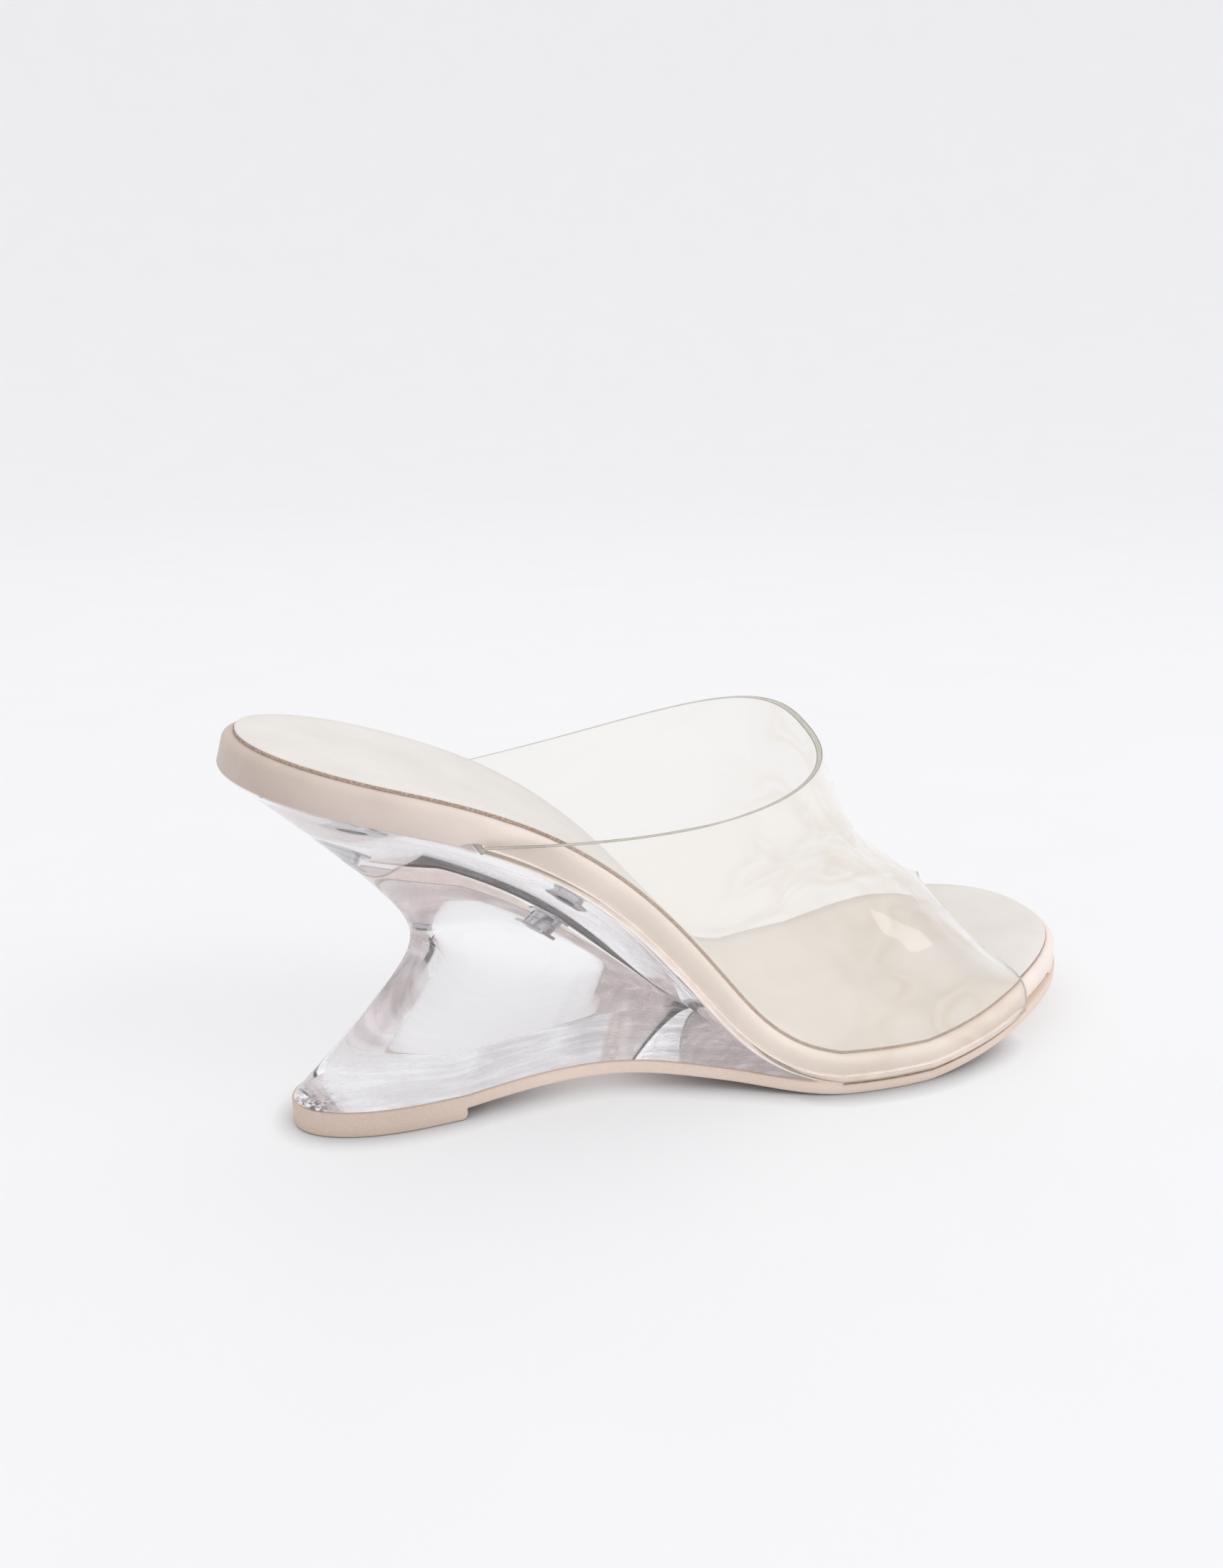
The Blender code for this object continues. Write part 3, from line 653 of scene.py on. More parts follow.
def cut_edge_finish(name, darkest, palest, clarity):
    """Sawn edge of the vinyl, whose look differs between its middle and its two corners."""
    values = {"Roughness": 0.3, "IOR": VINYL_INDEX, "Transmission Weight": clarity}
    return mottled_finish(name, (0.6 * MM,), mottling(darkest, palest), values, 0.05 * MM, lamps=0.8)


def cement_film(name):
    """Faces that the clear wedge stands on or carries: whitened by a film of cement, brushed in strokes, and
    glowing a little, which is painted light where they are seen through the wedge.
    """
    stops = mottling((0.57, 0.51, 0.51), (0.80, 0.755, 0.755))
    noise = (6 * MM, 4.0, 0.5, (0.4, 1.4, 1.0))
    return mottled_finish(name, noise, stops, {"Roughness": 0.5}, 0.1 * MM, glow=0.35)


def margin_finish():
    """The band's turned-in margin, milky with the cement that holds it under the board, and glowing a little,
    which is painted light that keeps its turn from going dark.
    """
    stops = mottling((0.78, 0.71, 0.67), (0.90, 0.85, 0.82))
    values = {"Roughness": 0.25, "IOR": VINYL_INDEX, "Transmission Weight": 0.35}
    return mottled_finish("cemented_margin", (4 * MM,), stops, values, glow=0.25, lamps=0.6)


def metal_finish():
    stops = mottling((0.50, 0.51, 0.53), (0.72, 0.73, 0.74))
    noise = (0.8 * MM, 3.0, 0.5, (1.0, 1.0, 6.0))
    return mottled_finish("polished_metal", noise, stops, {"Metallic": 1.0, "Roughness": 0.16}, 0.02 * MM)


def cement_finish():
    stops = mottling((0.17, 0.10, 0.06), (0.36, 0.24, 0.15))
    return mottled_finish("cement", (1.5 * MM,), stops, {"Roughness": 0.45}, 0.1 * MM)


def clear_finish(name, index, colour, roughness, ripple, depth, clarity, tint=None):
    """A clear plastic: ripple and depth are the size and height of its surface's waves; a tint paints warm
    wavy streaks towards the toe, which are a painted reflection.
    """
    made, tree, shader = material(name)
    plain = (*colour, 1.0)
    values = {"Base Color": plain, "Roughness": roughness, "IOR": index, "Transmission Weight": clarity}
    if tint is not None:
        # Warm wavy streaks towards the toe: a painted reflection.
        flow = object_noise(tree, 24 * MM, 1.5, 0.4, (0.8, 1.6, 1.2))
        stops = [(0.42, colour), (0.48, tint), (0.51, colour), (0.56, tint), (0.62, colour)]
        painted_reflection_streaks = tones(tree, flow, stops)
        values["Base Color"] = paler_forward(tree, plain, painted_reflection_streaks, 95 * MM, 120 * MM)
    fill(tree, shader, values)
    bumped(tree, shader, (object_noise(tree, ripple, 1.0), depth))
    lamp_through(tree, shader, 1.0)
    return made


def glued_finish():
    """Underside of the clear wedge, where cement was brushed on in long strokes and dirt was caught; the dark
    patch at its back corner is partly that dirt and partly a painted dark reflection.
    """
    made, tree, shader = material("glued_acrylic")
    strokes = object_noise(tree, 5.0 * MM, 5.0, 0.6, (0.30, 1.5, 1.0))
    patches = object_noise(tree, 16 * MM, 2.0)
    film = levels(tree, calc(tree, "MULTIPLY_ADD", patches, 0.6, strokes), 0.66, 0.98, 1.0, 0.25)
    colour = tones(tree, strokes, [(0.35, (0.60, 0.56, 0.565)), (0.65, (0.95, 0.935, 0.945))])
    # Dark patch at the back corner: partly dirt, partly a painted dark reflection.
    away = put(tree, "ShaderNodeVectorMath", {0: object_place(tree), 1: SMUDGE_AND_REFLECTION_PLACE}, operation="DISTANCE")
    near = levels(tree, away.outputs["Value"], 0.2 * SMUDGE_AND_REFLECTION_SPREAD, SMUDGE_AND_REFLECTION_SPREAD, 1.0, 0.0)
    scratch = levels(tree, object_noise(tree, 1.6 * MM, 5.0, 0.7), 0.42, 0.56, 0.0, 1.0)
    dirt_and_dark_reflection = calc(tree, "MULTIPLY", near, scratch)
    fill(tree, shader, {"Base Color": mixed(tree, dirt_and_dark_reflection, colour, (0.20, 0.16, 0.17, 1.0)),
                        "Transmission Weight": calc(tree, "SUBTRACT", film, dirt_and_dark_reflection, clamp=True),
                        "Roughness": 0.05, "IOR": ACRYLIC_INDEX})
    lamp_through(tree, shader, FILM_LAMPS)
    return made


def seated_finish():
    """Top of the clear wedge: a film of cement with a wavy edge, where it is seated under the board."""
    made, tree, shader = material("seated_acrylic")
    rim = put(tree, "ShaderNodeAttribute", attribute_name="rim")
    edge = calc(tree, "MULTIPLY_ADD", object_noise(tree, 9 * MM), -FILM_WAVES, rim.outputs["Fac"])
    start = FILM_INSET - FILM_WAVES / 2
    inside = levels(tree, edge, start, start + MM, 0.0, 1.0)
    blotch = object_noise(tree, 7 * MM, 4.0)
    area = calc(tree, "MULTIPLY", inside, levels(tree, blotch, 0.35, 0.65, 0.08, 0.30))
    line = tones(tree, inside, [(0.05, (0.0, 0.0, 0.0)), (0.5, (0.6, 0.6, 0.6)), (0.95, (0.0, 0.0, 0.0))])
    share = calc(tree, "MAXIMUM", area, line)
    fill(tree, shader, {"Base Color": tones(tree, blotch, mottling((0.80, 0.75, 0.75), (0.95, 0.92, 0.92))),
                        "Transmission Weight": levels(tree, share, 0.0, 1.0, 1.0, 0.0),
                        "Roughness": 0.04, "IOR": ACRYLIC_INDEX})
    lamp_through(tree, shader, FILM_LAMPS)
    return made


def floor_finish():
    """Pale floor that glows a little, so that wide shadows stay faint; the glow fades close under a piece,
    which is a painted contact shadow.
    """
    made, tree, shader = material("pale_floor")
    colour = tones(tree, object_noise(tree, 60 * MM), mottling((0.445, 0.445, 0.45), (0.455, 0.455, 0.46)))
    open_above = put(tree, "ShaderNodeAmbientOcclusion", {"Distance": CONTACT_REACH}, samples=4)
    # Less glow where a piece is close above: a painted contact shadow.
    glow = levels(tree, open_above.outputs["AO"], 0.35, 0.95, 0.0, FLOOR_GLOW)
    fill(tree, shader, {"Base Color": colour, "Roughness": 0.9, "Specular IOR Level": 0.1,
                        "Emission Color": (0.985, 0.985, 1.0, 1.0), "Emission Strength": glow})
    return made


# Pieces

def dress_outsole(board):
    """Thin outsole with its heel lift: sharp upper edge, softened lower edge and the step under the waist."""
    run = outsole_back() + (board.x[-1] - outsole_back()) * dense_to_ends(OUTLINE_STATIONS)
    step = LIFT_LENGTH / 2
    away = np.abs(run - step) > STEP_CLEAR * STEP_RADIUS
    corner = step - STEP_RADIUS * np.cos(quarter(STEP_POINTS))
    x = np.sort(np.concatenate([run[away], corner, [step + STEP_LEAN]]))
    outer, inner = outsole_edges(board, x)
    outer[-1] = inner[-1] = (outer[-1] + inner[-1]) / 2
    outline = ring(x, outer, inner)
    along = outline[:, 0]
    arch = outsole_underside(board, along)
    corner_share = np.clip((along - step) / STEP_RADIUS + 1, 0.0, 1.0)
    corner_height = STEP_RADIUS * (1 - np.sqrt(1 - corner_share ** 2))
    under = np.where(along <= step, corner_height, arch)
    top = np.where(along <= step, LIFT_THICKNESS, arch + OUTSOLE_THICKNESS)
    rings = []
    for angle in quarter(OUTSOLE_EDGE_POINTS):
        back = OUTSOLE_EDGE * (1 - math.sin(angle))
        up = OUTSOLE_EDGE * (1 - math.cos(angle))
        rings.append(np.column_stack([inset(outline, back), under + up]))
    rings.append(np.column_stack([outline, top - OUTSOLE_CORNER]))
    rings.append(np.column_stack([inset(outline, OUTSOLE_CORNER), top]))
    rings.append(np.column_stack([inset(outline, BARE_MARGIN), top]))
    vertices, faces, where, _ = capped(rings)
    glued = (where == len(rings)) & (np.array([vertices[face[0]][0] for face in faces]) < wedge_front(board))
    finishes = [outsole_finish(), cement_film("cement_on_outsole")]
    piece = new_mesh("outsole_dressed", vertices, faces, finishes, np.where(glued, 1, 0), sharp=50)
    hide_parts("outsole")
    return piece


def hollow(level, deepest, roundness):
    """Share of a hollow's depth at a share of its height: two straight flanks and a round bottom."""
    def branch(v):
        return np.sqrt(roundness ** 2 + (v - deepest) ** 2)

    def below(v):
        return branch(0.0) * (1 - v) + branch(1.0) * v - branch(v)

    return below(level) / below(deepest)


def flared(depth, height):
    """Share of the way from base width to board width at a depth under the board, on a side so high."""
    def branch(d):
        return np.maximum(FLARE_DEPTH - d, 0.0) ** 2

    return (branch(depth) - branch(height)) / (branch(0.0) - branch(height))


def pinched(level, height):
    """How far each side is drawn in at a share of its height, most where the flare begins."""
    tall = smooth((height - FLARE_DEPTH) / FLARE_DEPTH)
    deepest = np.clip(1 - FLARE_DEPTH / height, *PINCH_LEVELS)
    return WAIST_PINCH * tall * hollow(level, deepest, WAIST_ROUNDING / height)


def wedge_front(board):
    top = outsole_underside(board, board.x) + OUTSOLE_THICKNESS
    thin = (board.z - top < WEDGE_TIP + 2 * SEAT_GAP) & (board.x > LIFT_LENGTH / 2)
    return board.x[np.argmax(thin)]


def dress_wedge(board):
    """Clear wedge, one cast body: slim waist, sides that flare out under the board, a C-shaped back."""
    along = dense_to_ends(WEDGE_STATIONS)
    front = wedge_front(board)
    base_back = outsole_back() + WEDGE_INSET
    seat_back = board.place(WEDGE_INSET / FOOTBED_LENGTH, 0.0, -SEAT_GAP)[0]
    base_x = base_back + (front - base_back) * along
    base_outer, base_inner = outsole_edges(board, outsole_back() + (front - outsole_back()) * along)
    base_z = outsole_underside(board, base_x) + OUTSOLE_THICKNESS + SEAT_GAP
    base_z = np.where(base_x < LIFT_LENGTH / 2, LIFT_THICKNESS + SEAT_GAP, base_z)
    seat_x = seat_back + (front - seat_back) * along
    seat_outer, seat_inner = board.edges(board.share_at(board.x[0] + (front - board.x[0]) * along))
    seat_z = board.height_at(seat_x) - SEAT_GAP / np.interp(seat_x, board.x, board.normal[:, 1])
    height = np.maximum(seat_z - base_z, WEDGE_TIP)
    rings = []
    for level in np.linspace(0.0, 1.0, WEDGE_RINGS + 1):
        flare = flared((1 - level) * height, height)
        back = NOTCH_DEPTH * hollow(level, NOTCH_LEVEL, NOTCH_ROUNDNESS)
        x = base_x * (1 - level) + seat_x * level + back * (1 - along)
        outer = base_outer * (1 - flare) + seat_outer * flare
        inner = base_inner * (1 - flare) + seat_inner * flare
        centre = (outer + inner) / 2
        half = (inner - outer) / 2
        half = half ** 2 / (half + WEDGE_INSET + pinched(level, height))
        z = base_z * (1 - level) + seat_z * level
        low = np.stack([x, centre - half, z], 1)
        high = np.stack([x, centre + half, z], 1)
        rings.append(np.concatenate([low, high[:0:-1]]))
    vertices, faces, where, rim = capped(rings)
    acrylic = clear_finish("clear_acrylic", ACRYLIC_INDEX, (0.985, 0.98, 0.99), 0.0, 30 * MM, 0.15 * MM, 1.0)
    slots = np.select([where == -1, where == len(rings)], [1, 2], 0)
    finishes = [acrylic, glued_finish(), seated_finish()]
    piece = new_mesh("wedge_dressed", vertices, faces, finishes, slots, sharp=50, rim=rim)
    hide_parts("wedge")
    return piece


def dress_footbed(board):
    """Leather-wrapped board: straight side, rounded upper edge, flat underside."""
    outline = board_outline(board)
    share = outline[:, 0] / FOOTBED_LENGTH
    first = BAND_ROWS[0].outer - RABBET_REACH
    last = BAND_ROWS[-1].inner + RABBET_REACH
    reach = smooth((share - first) / RABBET_FADE) * smooth((last - share) / RABBET_FADE)
    rabbet = RABBET_LEAST + (WALL + SEAT_GAP - RABBET_LEAST) * reach
    inner_line = inset(outline, LASTING_MARGIN + RABBET_ROOM)
    rings = [on_board(board, inner_line, 0.0), on_board(board, inner_line, rabbet),
             on_board(board, inset(outline, BARE_MARGIN), rabbet),
             on_board(board, inset(outline, FOOTBED_CORNER), rabbet),
             on_board(board, outline, rabbet + FOOTBED_CORNER)]
    across = np.sign(outline[:, 1] - BALL_HALF_WIDTH * column(BOARD_ROWS, "swing", share))
    band_end = np.where(across < 0, BAND_ROWS[0].outer, BAND_ROWS[0].inner) + DENT_OFFSET
    dent = DENT_DEPTH * np.exp(-((share - band_end) / DENT_SPREAD) ** 2)
    for angle in quarter(FOOTBED_EDGE_POINTS):
        back = FOOTBED_EDGE_RADIUS * (1 - math.cos(angle)) + dent * math.sin(angle)
        up = board.thickness(share) - FOOTBED_EDGE_RADIUS * (1 - math.sin(angle))
        rings.append(on_board(board, inset(outline, back), up))
    vertices, faces, where, _ = capped(rings)
    finishes = [leather_finish(), cement_film("cement_on_footbed")]
    piece = new_mesh("footbed_dressed", vertices, faces, finishes, np.where(where < 2, 1, 0), sharp=60)
    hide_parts("footbed")
    return piece


def dress_sock(board):
    """Cream sock liner whose raw edge shows as a fibrous line."""
    outline = inset(board_outline(board), SOCK_INSET)
    low = board.thickness(outline[:, 0] / FOOTBED_LENGTH) + SOCK_SEAT
    rings = [on_board(board, outline, low),
             on_board(board, outline, low + SOCK_THICKNESS - SOCK_CORNER),
             on_board(board, inset(outline, SOCK_CORNER), low + SOCK_THICKNESS)]
    vertices, faces, where, _ = capped(rings)
    slots = np.where(where == 0, 1, 0)
    finishes = [sock_finish(), raw_edge_finish("raw_edge")]
    piece = new_mesh("sock_dressed", vertices, faces, finishes, slots, sharp=50)
    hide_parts("sock")
    return piece


def band_foot(board, share, side):
    """Wall middle from the turned-in margin's edge round the board's lower corner; the outer side is -1."""
    near = board.edges(share + SLOPE_STEP * np.array([-1.0, 0.0, 1.0]))[0 if side < 0 else 1]
    slope = (near[2] - near[0]) / (2 * SLOPE_STEP * FOOTBED_LENGTH)
    away = side * np.array([-slope, 1.0]) / math.hypot(slope, 1.0)
    out = SEAT_GAP + WALL / 2 + CLEAR_MARGIN
    low = WALL / 2
    path = [(-LASTING_MARGIN, low), (-LASTING_MARGIN / 2, low)]
    for angle in quarter(TURN_POINTS + 1):
        reach = out - TURN_RADIUS * (1 - math.sin(angle))
        path.append((reach, low + TURN_RADIUS * (1 - math.cos(angle))))
    path = np.array(path)
    along = share + away[0] * path[:, 0] / FOOTBED_LENGTH
    across = near[1] + away[1] * path[:, 0]
    return board.place(along, across, path[:, 1])


def clear_of_board(board, points):
    """Hold the wall's middle outside the board's edge wherever it passes beside it."""
    share, h = board.locate(points)
    fine = np.linspace(0.0, 1.0, 4 * OUTLINE_STATIONS + 1)
    outline = ring(fine * FOOTBED_LENGTH, *board.edges(fine))
    away = outward(outline)
    plan = np.stack([share * FOOTBED_LENGTH, points[:, 1]], 1)
    offset = plan[:, None] - outline[None]
    nearest = np.argmin((offset ** 2).sum(2), axis=1)
    distance = (offset[np.arange(len(plan)), nearest] * away[nearest]).sum(1)
    apart = SEAT_GAP + WALL / 2 + CLEAR_MARGIN
    beside = smooth((board.thickness(share) + WALL - h) / (2 * WALL))
    push = away[nearest] * (np.maximum(apart - distance, 0.0) * beside)[:, None]
    nx = np.interp(share, board.share, board.normal[:, 0])
    nz = np.interp(share, board.share, board.normal[:, 1])
    return points + np.stack([push[:, 0] * nz, push[:, 1], -push[:, 0] * nx], 1)


def band_rib(board, position):
    """Middle of the wall along one rib, position 0 at the collar and 1 at the toe opening."""
    rows = np.linspace(0.0, 1.0, len(BAND_ROWS))
    values = {name: float(spline(rows, [getattr(row, name) for row in BAND_ROWS], position))
              for name in BandRow._fields}
    start = band_foot(board, values["outer"], -1)
    end = band_foot(board, values["inner"], 1)
    crown_x = -HEEL_OVERHANG + values["crown"] * FOOTBED_LENGTH
    crown_z = values["height"] * COLLAR_HEIGHT
    angle = np.linspace(0.0, math.pi, RIB_SAMPLES + 1)
    power = 2 / values["square"]
    climb = np.sin(angle).clip(0.0) ** power
    side = np.sign(np.cos(angle)) * np.abs(np.cos(angle)) ** power
    mix = ((1 - side) / 2)[:, None]
    foot = start[-1] * (1 - mix) + end[-1] * mix
    sweep = 1 + (COLLAR_SWEEP - 1) * (1 - smooth(position / SWEEP_FADE))
    middle = (start[-1] + end[-1]) / 2
    x = foot[:, 0] + (crown_x - middle[0]) * climb ** values["lean"]
    z = foot[:, 2] + (crown_z - middle[2]) * climb ** sweep
    z = z - values["tilt"] * COLLAR_HEIGHT * climb * side
    arch = np.stack([x, foot[:, 1], z], 1)
    arch = clear_of_board(board, arch)
    lengths = np.concatenate([[0.0], np.cumsum(np.linalg.norm(np.diff(arch, axis=0), axis=1))])
    even = np.linspace(0.0, lengths[-1], BAND_COLUMNS + 1)
    arch = np.stack([np.interp(even, lengths, arch[:, k]) for k in range(3)], 1)
    return np.concatenate([start[:-1], arch, end[-2::-1]])


def grid_normals(grid):
    across = np.gradient(grid, axis=0)
    along = np.gradient(grid, axis=1)
    normal = np.cross(along, across)
    return normal / np.linalg.norm(normal, axis=2)[:, :, None]


def relaxed(grid, times, fixed):
    """The grid with its small unevenness smoothed out, leaving the columns of the turned-in margins."""
    grid = grid.copy()
    inside = slice(fixed, grid.shape[1] - fixed)
    for _ in range(times):
        mean = grid.copy()
        mean[1:-1, 1:-1] = (grid[:-2, 1:-1] + grid[2:, 1:-1] + grid[1:-1, :-2] + grid[1:-1, 2:]) / 4
        mean[0, 1:-1] = (grid[0, :-2] + grid[0, 2:]) / 2
        mean[-1, 1:-1] = (grid[-1, :-2] + grid[-1, 2:]) / 2
        grid[:, inside] = (grid[:, inside] + mean[:, inside]) / 2
    return grid


def crease(grid):
    """Soft troughs and ridges of the worn vinyl, listed in shares of its length and width."""
    rows, columns = grid.shape[:2]
    along = np.linspace(0.0, 1.0, rows)[:, None]
    across = np.linspace(0.0, 1.0, columns)[None]
    shift = np.zeros((rows, columns))
    for fold in FOLDS:
        slant = across - fold.across - fold.slant * (along - fold.along)
        wave = np.exp(-(slant / fold.width) ** 2) * np.exp(-((along - fold.along) / fold.length) ** 2)
        shift += fold.rise * wave
    held = smooth(np.minimum(across, 1 - across) / FOLD_FREE)
    return grid + grid_normals(grid) * (shift * held)[:, :, None]


def dress_upper(board):
    """Clear vinyl band with a real wall; the cut edge at its collar has a dark line along each corner."""
    ribs = np.array([band_rib(board, position) for position in np.linspace(0.0, 1.0, BAND_RIBS + 1)])
    middle = crease(relaxed(ribs, RELAXED_TIMES, TURN_POINTS + RELAXED_FROM))
    normal = grid_normals(middle)
    rows, columns = middle.shape[:2]
    outer = middle + normal * WALL / 2
    inner = middle - normal * WALL / 2
    corner = EDGE_LINE / WALL
    cuts = []
    for row in (0, -1):
        for share in (corner, 1 - corner):
            cuts.append(outer[row] * (1 - share) + inner[row] * share)
    vertices = np.concatenate([outer.reshape(-1, 3), inner.reshape(-1, 3), np.array(cuts).reshape(-1, 3)])
    count = rows * columns
    faces = []
    slots = []
    for i in range(rows - 1):
        for j in range(columns - 1):
            a = i * columns + j
            faces.append((a, a + 1, a + columns + 1, a + columns))
            b = a + count
            faces.append((b, b + columns, b + columns + 1, b + 1))
            turned_in = min(j, columns - 2 - j) < TURN_POINTS - 1
            slots += [MARGIN, MARGIN] if turned_in else [VINYL, VINYL]
    last = (rows - 1) * columns
    collar = (0, 2 * count, 2 * count + columns, count)
    opening = (count + last, 2 * count + 3 * columns, 2 * count + 2 * columns, last)
    lined = (CORNER_LINE, CUT_EDGE, CORNER_LINE)
    for strips, finish in ((collar, lined), (opening, 3 * (CUT_EDGE,))):
        for low, high, slot in zip(strips, strips[1:], finish):
            for j in range(columns - 1):
                faces.append((low + j, high + j, high + j + 1, low + j + 1))
                slots.append(slot)
    for j, turn in ((0, 1), (columns - 1, -1)):
        for i in range(rows - 1):
            near = [i * columns + j + count, i * columns + j]
            far = [(i + 1) * columns + j, (i + 1) * columns + j + count]
            if i == 0:
                near[1:1] = [collar[2] + j, collar[1] + j]
            if i == rows - 2:
                far[1:1] = [opening[2] + j, opening[1] + j]
            faces.append(tuple((near + far)[::turn]))
            slots.append(CUT_EDGE)
    # The vinyl's last colour tints its painted reflection streaks towards the toe.
    vinyl = clear_finish("clear_vinyl", VINYL_INDEX, (0.985, 0.97, 0.945), 0.03, 26 * MM, 0.2 * MM, 0.96,
                         (0.93, 0.885, 0.83))
    finishes = [vinyl, cut_edge_finish("vinyl_cut_edge", (0.44, 0.42, 0.34), (0.60, 0.58, 0.48), 0.45),
                margin_finish(), cut_edge_finish("vinyl_corner", (0.16, 0.15, 0.12), (0.30, 0.28, 0.23), 0.3)]
    piece = new_mesh("upper_dressed", vertices, faces, finishes, slots, sharp=60)
    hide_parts("upper")
    return piece


def turned_ring(radius, sides, height):
    angle = np.linspace(0.0, 2 * math.pi, sides, endpoint=False) + math.pi / sides
    return np.stack([radius * np.cos(angle), radius * np.sin(angle), np.full(sides, height)], 1)


def dress_fastener(board, name, share, metal):
    """Metal sleeve: a thin six-sided flange at each end of a round, grooved barrel with an open bore."""
    half = FASTENER_LENGTH / 2
    flange = FLANGE_DIAMETER / 2
    barrel = BARREL_DIAMETER / 2
    bore = BORE_SHARE * barrel

    def six_sided(radius, height):
        points = turned_ring(1.0, SLEEVE_SIDES, height)
        angle = np.arctan2(points[:, 1], points[:, 0])
        reach = radius * math.cos(math.pi / 6) / np.cos((angle + math.pi / 6) % (math.pi / 3) - math.pi / 6)
        return points * [1, 1, 0] * reach[:, None] + [0, 0, height]

    def round_ring(radius, height):
        return turned_ring(radius, SLEEVE_SIDES, height)

    lower = [(round_ring, bore, half), (six_sided, flange - FLANGE_EDGE, half),
             (six_sided, flange, half - FLANGE_EDGE),
             (six_sided, flange, half - FLANGE_THICKNESS + FLANGE_EDGE),
             (six_sided, flange - FLANGE_EDGE, half - FLANGE_THICKNESS),
             (round_ring, barrel, half - FLANGE_THICKNESS), (round_ring, barrel, BARREL_GROOVE)]
    rings = [make(radius, -depth) for make, radius, depth in lower]
    rings.append(round_ring(barrel - BARREL_GROOVE, 0.0))
    rings += [make(radius, depth) for make, radius, depth in reversed(lower)]
    vertices = np.concatenate(rings)
    faces = []
    for level in range(len(rings)):
        faces += wall(level * SLEEVE_SIDES, (level + 1) % len(rings) * SLEEVE_SIDES, SLEEVE_SIDES)
    nx = float(np.interp(share, board.share, board.normal[:, 0]))
    nz = float(np.interp(share, board.share, board.normal[:, 1]))
    turn = Matrix.Rotation(math.atan2(nx, nz), 3, "Y")
    middle = board.place(share, 0.0, -2 * SEAT_GAP - FASTENER_SINK - half)
    vertices = vertices @ np.array(turn).T + middle
    piece = new_mesh(name + "_dressed", vertices, faces, [metal], sharp=25)
    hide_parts(name)
    return piece


# Fibres and cement that follow a path, grown by Geometry Nodes

def growing_tree(name, sizes):
    """An empty tree with one named input for each size, and its input and output nodes."""
    tree = bpy.data.node_groups.new(name, "GeometryNodeTree")
    tree.interface.new_socket("Geometry", in_out="INPUT", socket_type="NodeSocketGeometry")
    for size, kind in sizes.items():
        tree.interface.new_socket(size, in_out="INPUT", socket_type="NodeSocket" + kind)
    tree.interface.new_socket("Geometry", in_out="OUTPUT", socket_type="NodeSocketGeometry")
    return tree, tree.nodes.new("NodeGroupInput"), tree.nodes.new("NodeGroupOutput")


def resampled_path(tree, given, step):
    """The given edges as a curve with evenly spaced points."""
    curve = put(tree, "GeometryNodeMeshToCurve", {"Mesh": given.outputs["Geometry"]})
    values = {"Curve": curve.outputs["Curve"], "Length": given.outputs[step]}
    return put(tree, "GeometryNodeResampleCurve", values, mode="LENGTH").outputs["Curve"]


def random_vector(tree, seed, low, high):
    """A random vector for each point; seed is the tree's own seed socket."""
    values = {"Min": (low, low, low), "Max": (high, high, high), "Seed": seed}
    return put(tree, "FunctionNodeRandomValue", values, data_type="FLOAT_VECTOR").outputs["Value"]


def finished(tree, geometry, finish, leave):
    """Realize the instances, give them their finish and lead them out."""
    real = put(tree, "GeometryNodeRealizeInstances", {"Geometry": geometry})
    dressed = put(tree, "GeometryNodeSetMaterial", {"Geometry": real.outputs["Geometry"], "Material": finish})
    fill(tree, leave, {"Geometry": dressed.outputs["Geometry"]})


def fibre_tree(finish):
    """Short three-sided fibres, turned every way, along a path."""
    sizes = {"Spacing": "Float", "Fibre Length": "Float", "Fibre Thickness": "Float", "Seed": "Int"}
    tree, given, leave = growing_tree("raw_edge_fibres", sizes)
    path = resampled_path(tree, given, "Spacing")
    values = {"Vertices": 3, "Radius Top": 0.0, "Radius Bottom": given.outputs["Fibre Thickness"],
              "Depth": given.outputs["Fibre Length"]}
    fibre = put(tree, "GeometryNodeMeshCone", values)
    seed = given.outputs["Seed"]
    values = {"Points": path, "Instance": fibre.outputs["Mesh"],
              "Rotation": random_vector(tree, seed, -math.pi, math.pi),
              "Scale": random_vector(tree, seed, *FIBRE_SCALES)}
    set_out = put(tree, "GeometryNodeInstanceOnPoints", values)
    finished(tree, set_out.outputs["Instances"], finish, leave)
    return tree


def bead_tree(finish):
    """A thin bead of uneven thickness along a path."""
    sizes = {"Step": "Float", "Bead Radius": "Float", "Seed": "Int"}
    tree, given, leave = growing_tree("pressed_out_cement", sizes)
    path = resampled_path(tree, given, "Step")
    values = {"Min": BEAD_SCALES[0], "Max": BEAD_SCALES[1], "Seed": given.outputs["Seed"]}
    uneven = put(tree, "FunctionNodeRandomValue", values)
    values = {"Resolution": BEAD_SIDES, "Radius": given.outputs["Bead Radius"]}
    profile = put(tree, "GeometryNodeCurvePrimitiveCircle", values)
    radius = put(tree, "GeometryNodeSetCurveRadius", {"Curve": path, "Radius": uneven.outputs["Value"]})
    values = {"Fill Caps": True, "Curve": radius.outputs["Curve"], "Profile Curve": profile.outputs["Curve"]}
    bead = put(tree, "GeometryNodeCurveToMesh", values)
    finished(tree, bead.outputs["Mesh"], finish, leave)
    return tree


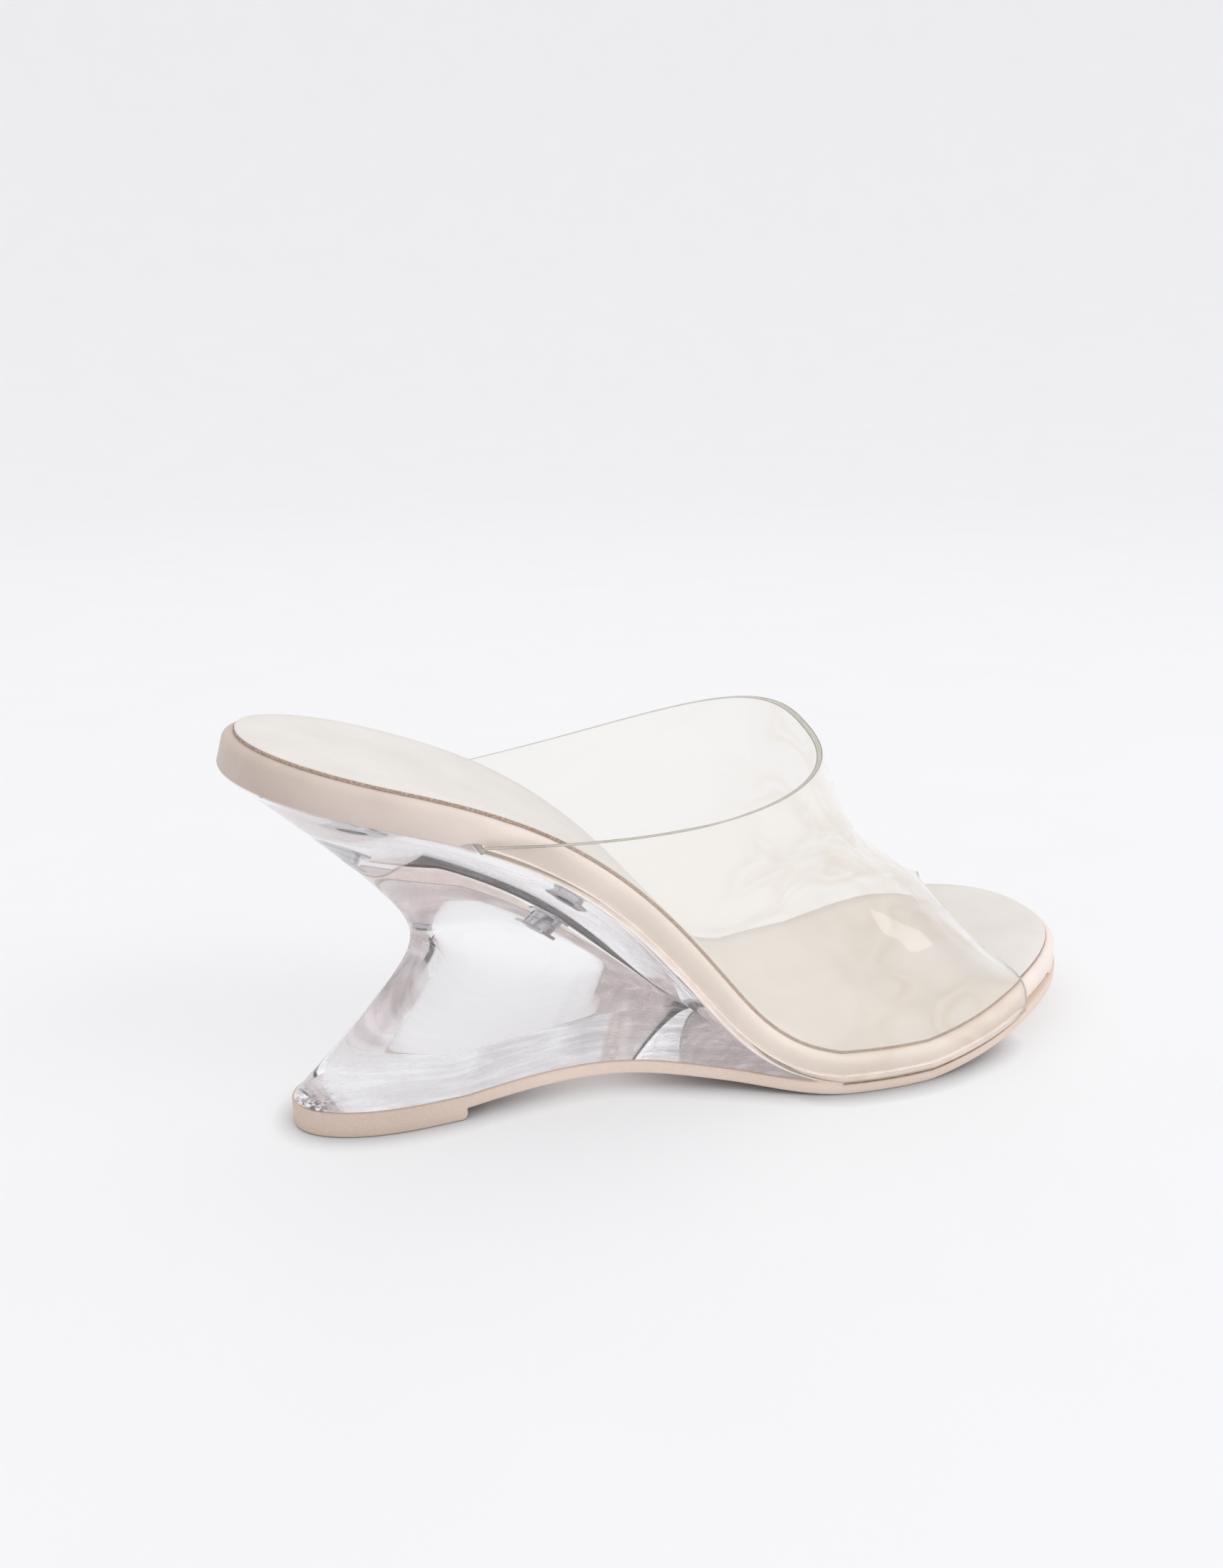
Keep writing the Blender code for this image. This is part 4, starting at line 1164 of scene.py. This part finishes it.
def grown(name, points, closed, tree, values):
    """A plain mesh grown by a tree along a path of points."""
    edges = [(i, i + 1) for i in range(len(points) - 1)]
    if closed:
        edges.append((len(points) - 1, 0))
    mesh = bpy.data.meshes.new(name + "_path")
    mesh.from_pydata([tuple(point) for point in points], edges, [])
    path = bpy.data.objects.new(name + "_path", mesh)
    bpy.context.scene.collection.objects.link(path)
    growth = path.modifiers.new("growth", "NODES")
    growth.node_group = tree
    for item in tree.interface.items_tree:
        if item.in_out == "INPUT" and item.name in values:
            growth[item.identifier] = values[item.name]
    whole = path.evaluated_get(bpy.context.evaluated_depsgraph_get())
    piece = bpy.data.objects.new(name, bpy.data.meshes.new_from_object(whole))
    bpy.data.objects.remove(path)
    bpy.context.scene.collection.objects.link(piece)
    return piece


def raw_edge_fibres(board):
    """Fibres along the sock's raw edge."""
    outline = inset(board_outline(board), SOCK_INSET - FIBRE_THICKNESS)
    height = board.thickness(outline[:, 0] / FOOTBED_LENGTH) + SOCK_THICKNESS / 2
    values = {"Spacing": FIBRE_SPACING, "Fibre Length": FIBRE_LENGTH, "Fibre Thickness": FIBRE_THICKNESS,
              "Seed": 7}
    tree = fibre_tree(raw_edge_finish("raw_edge_fibre"))
    return grown("sock_fibres", on_board(board, outline, height), True, tree, values)


def cement_bead(board):
    """Bead of cement between band and outsole at the forefoot's outer side."""
    share = np.linspace(*BEAD_SHARES, BEAD_POINTS)
    outer = board.edges(share)[0]
    path = board.place(share, outer - OUTSOLE_MARGIN - BEAD_RADIUS / 2, -SEAT_GAP / 2)
    values = {"Step": BEAD_STEP, "Bead Radius": BEAD_RADIUS, "Seed": 3}
    return grown("cement_bead", path, False, bead_tree(cement_finish()), values)


# Stage, light and camera

def build_stage():
    """Floor and backdrop in one: a disc whose rim sweeps up to a wall, seen from inside."""
    profile = [(0.0, 0.0), (FLOOR_FLAT, 0.0), (FLOOR_RADIUS, 0.0)]
    for angle in quarter(SWEEP_RINGS)[1:]:
        profile.append((FLOOR_RADIUS + SWEEP_RADIUS * math.sin(angle), SWEEP_RADIUS * (1 - math.cos(angle))))
    profile.append((FLOOR_RADIUS + SWEEP_RADIUS, BACKDROP_HEIGHT))
    vertices = [(0.0, 0.0, 0.0)]
    for radius, height in profile[1:]:
        vertices += list(turned_ring(radius, FLOOR_SIDES, height))
    faces = [(0, 1 + i, 1 + (i + 1) % FLOOR_SIDES) for i in range(FLOOR_SIDES)]
    for level in range(len(profile) - 2):
        low = 1 + level * FLOOR_SIDES
        faces += wall(low + FLOOR_SIDES, low, FLOOR_SIDES)
    new_mesh("floor", vertices, faces, [floor_finish()])
    world = bpy.data.worlds.new("studio")
    bpy.context.scene.world = world
    world.use_nodes = True
    tree = world.node_tree
    direction = put(tree, "ShaderNodeTexCoord").outputs["Generated"]
    split = put(tree, "ShaderNodeSeparateXYZ", {"Vector": direction})
    stops = [(0.0, (0.95, 0.95, 0.98)), (0.45, (0.80, 0.80, 0.82)), (1.0, (1.0, 1.0, 1.0))]
    sky = tones(tree, split.outputs["Z"], stops)
    fill(tree, tree.nodes["Background"], {"Color": sky, "Strength": SKY_STRENGTH})


def build_lights():
    """Square soft lights aimed at the shoe."""
    for softbox in SOFTBOXES:
        light = bpy.data.lights.new(softbox.name, "AREA")
        light.shape = "RECTANGLE"
        light.size, light.size_y = softbox.size
        light.energy = softbox.power
        obj = bpy.data.objects.new(softbox.name, light)
        obj.location = softbox.place
        obj.rotation_euler = (CAMERA_TARGET - Vector(softbox.place)).to_track_quat("-Z", "Y").to_euler()
        obj.visible_glossy = False
        bpy.context.scene.collection.objects.link(obj)


def build_camera():
    """The photograph's viewpoint: first its direction, then the small turn, tilt and roll of its frame."""
    right = Vector((math.cos(CAMERA_AZIMUTH), math.sin(CAMERA_AZIMUTH), 0.0))
    upright = Vector((0.0, 0.0, 1.0))
    back = right.cross(upright) * math.cos(CAMERA_ELEVATION) + upright * math.sin(CAMERA_ELEVATION)
    axes = Matrix.Rotation(-CAMERA_TILT, 3, "X") @ Matrix.Rotation(CAMERA_TURN, 3, "Y")
    axes = axes @ Matrix.Rotation(CAMERA_ROLL, 3, "Z") @ Matrix((right, back.cross(right), -back))
    camera = bpy.data.cameras.new("camera")
    camera.sensor_width = SENSOR
    camera.lens = FOCAL_PIXELS / IMAGE_HEIGHT * SENSOR
    camera.clip_start = NEAREST_SEEN
    obj = bpy.data.objects.new("camera", camera)
    place = Matrix((axes[0], axes[1], -axes[2])).transposed().to_4x4()
    place.translation = CAMERA_TARGET + back * CAMERA_DISTANCE
    obj.matrix_world = place
    bpy.context.scene.collection.objects.link(obj)
    bpy.context.scene.camera = obj


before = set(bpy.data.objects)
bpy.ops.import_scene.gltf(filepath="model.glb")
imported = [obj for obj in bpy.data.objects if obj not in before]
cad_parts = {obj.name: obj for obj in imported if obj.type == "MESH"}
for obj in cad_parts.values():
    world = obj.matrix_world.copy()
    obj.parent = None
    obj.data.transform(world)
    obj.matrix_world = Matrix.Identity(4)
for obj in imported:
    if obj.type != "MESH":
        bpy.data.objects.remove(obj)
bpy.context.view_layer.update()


def main():
    board = Board()
    build_stage()
    build_lights()
    build_camera()
    metal = metal_finish()
    pieces = [(dress_outsole(board), "outsole"), (dress_wedge(board), "wedge"),
              (dress_footbed(board), "footbed"), (dress_sock(board), "sock"), (dress_upper(board), "upper")]
    for name, share in FASTENER_SHARES.items():
        pieces.append((dress_fastener(board, name, share, metal), "fasteners"))
    pieces += [(raw_edge_fibres(board), "sock"), (cement_bead(board), "outsole")]
    for piece, slot in pieces:
        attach(piece, "root")
    bpy.context.scene.view_settings.view_transform = "Standard"


main()
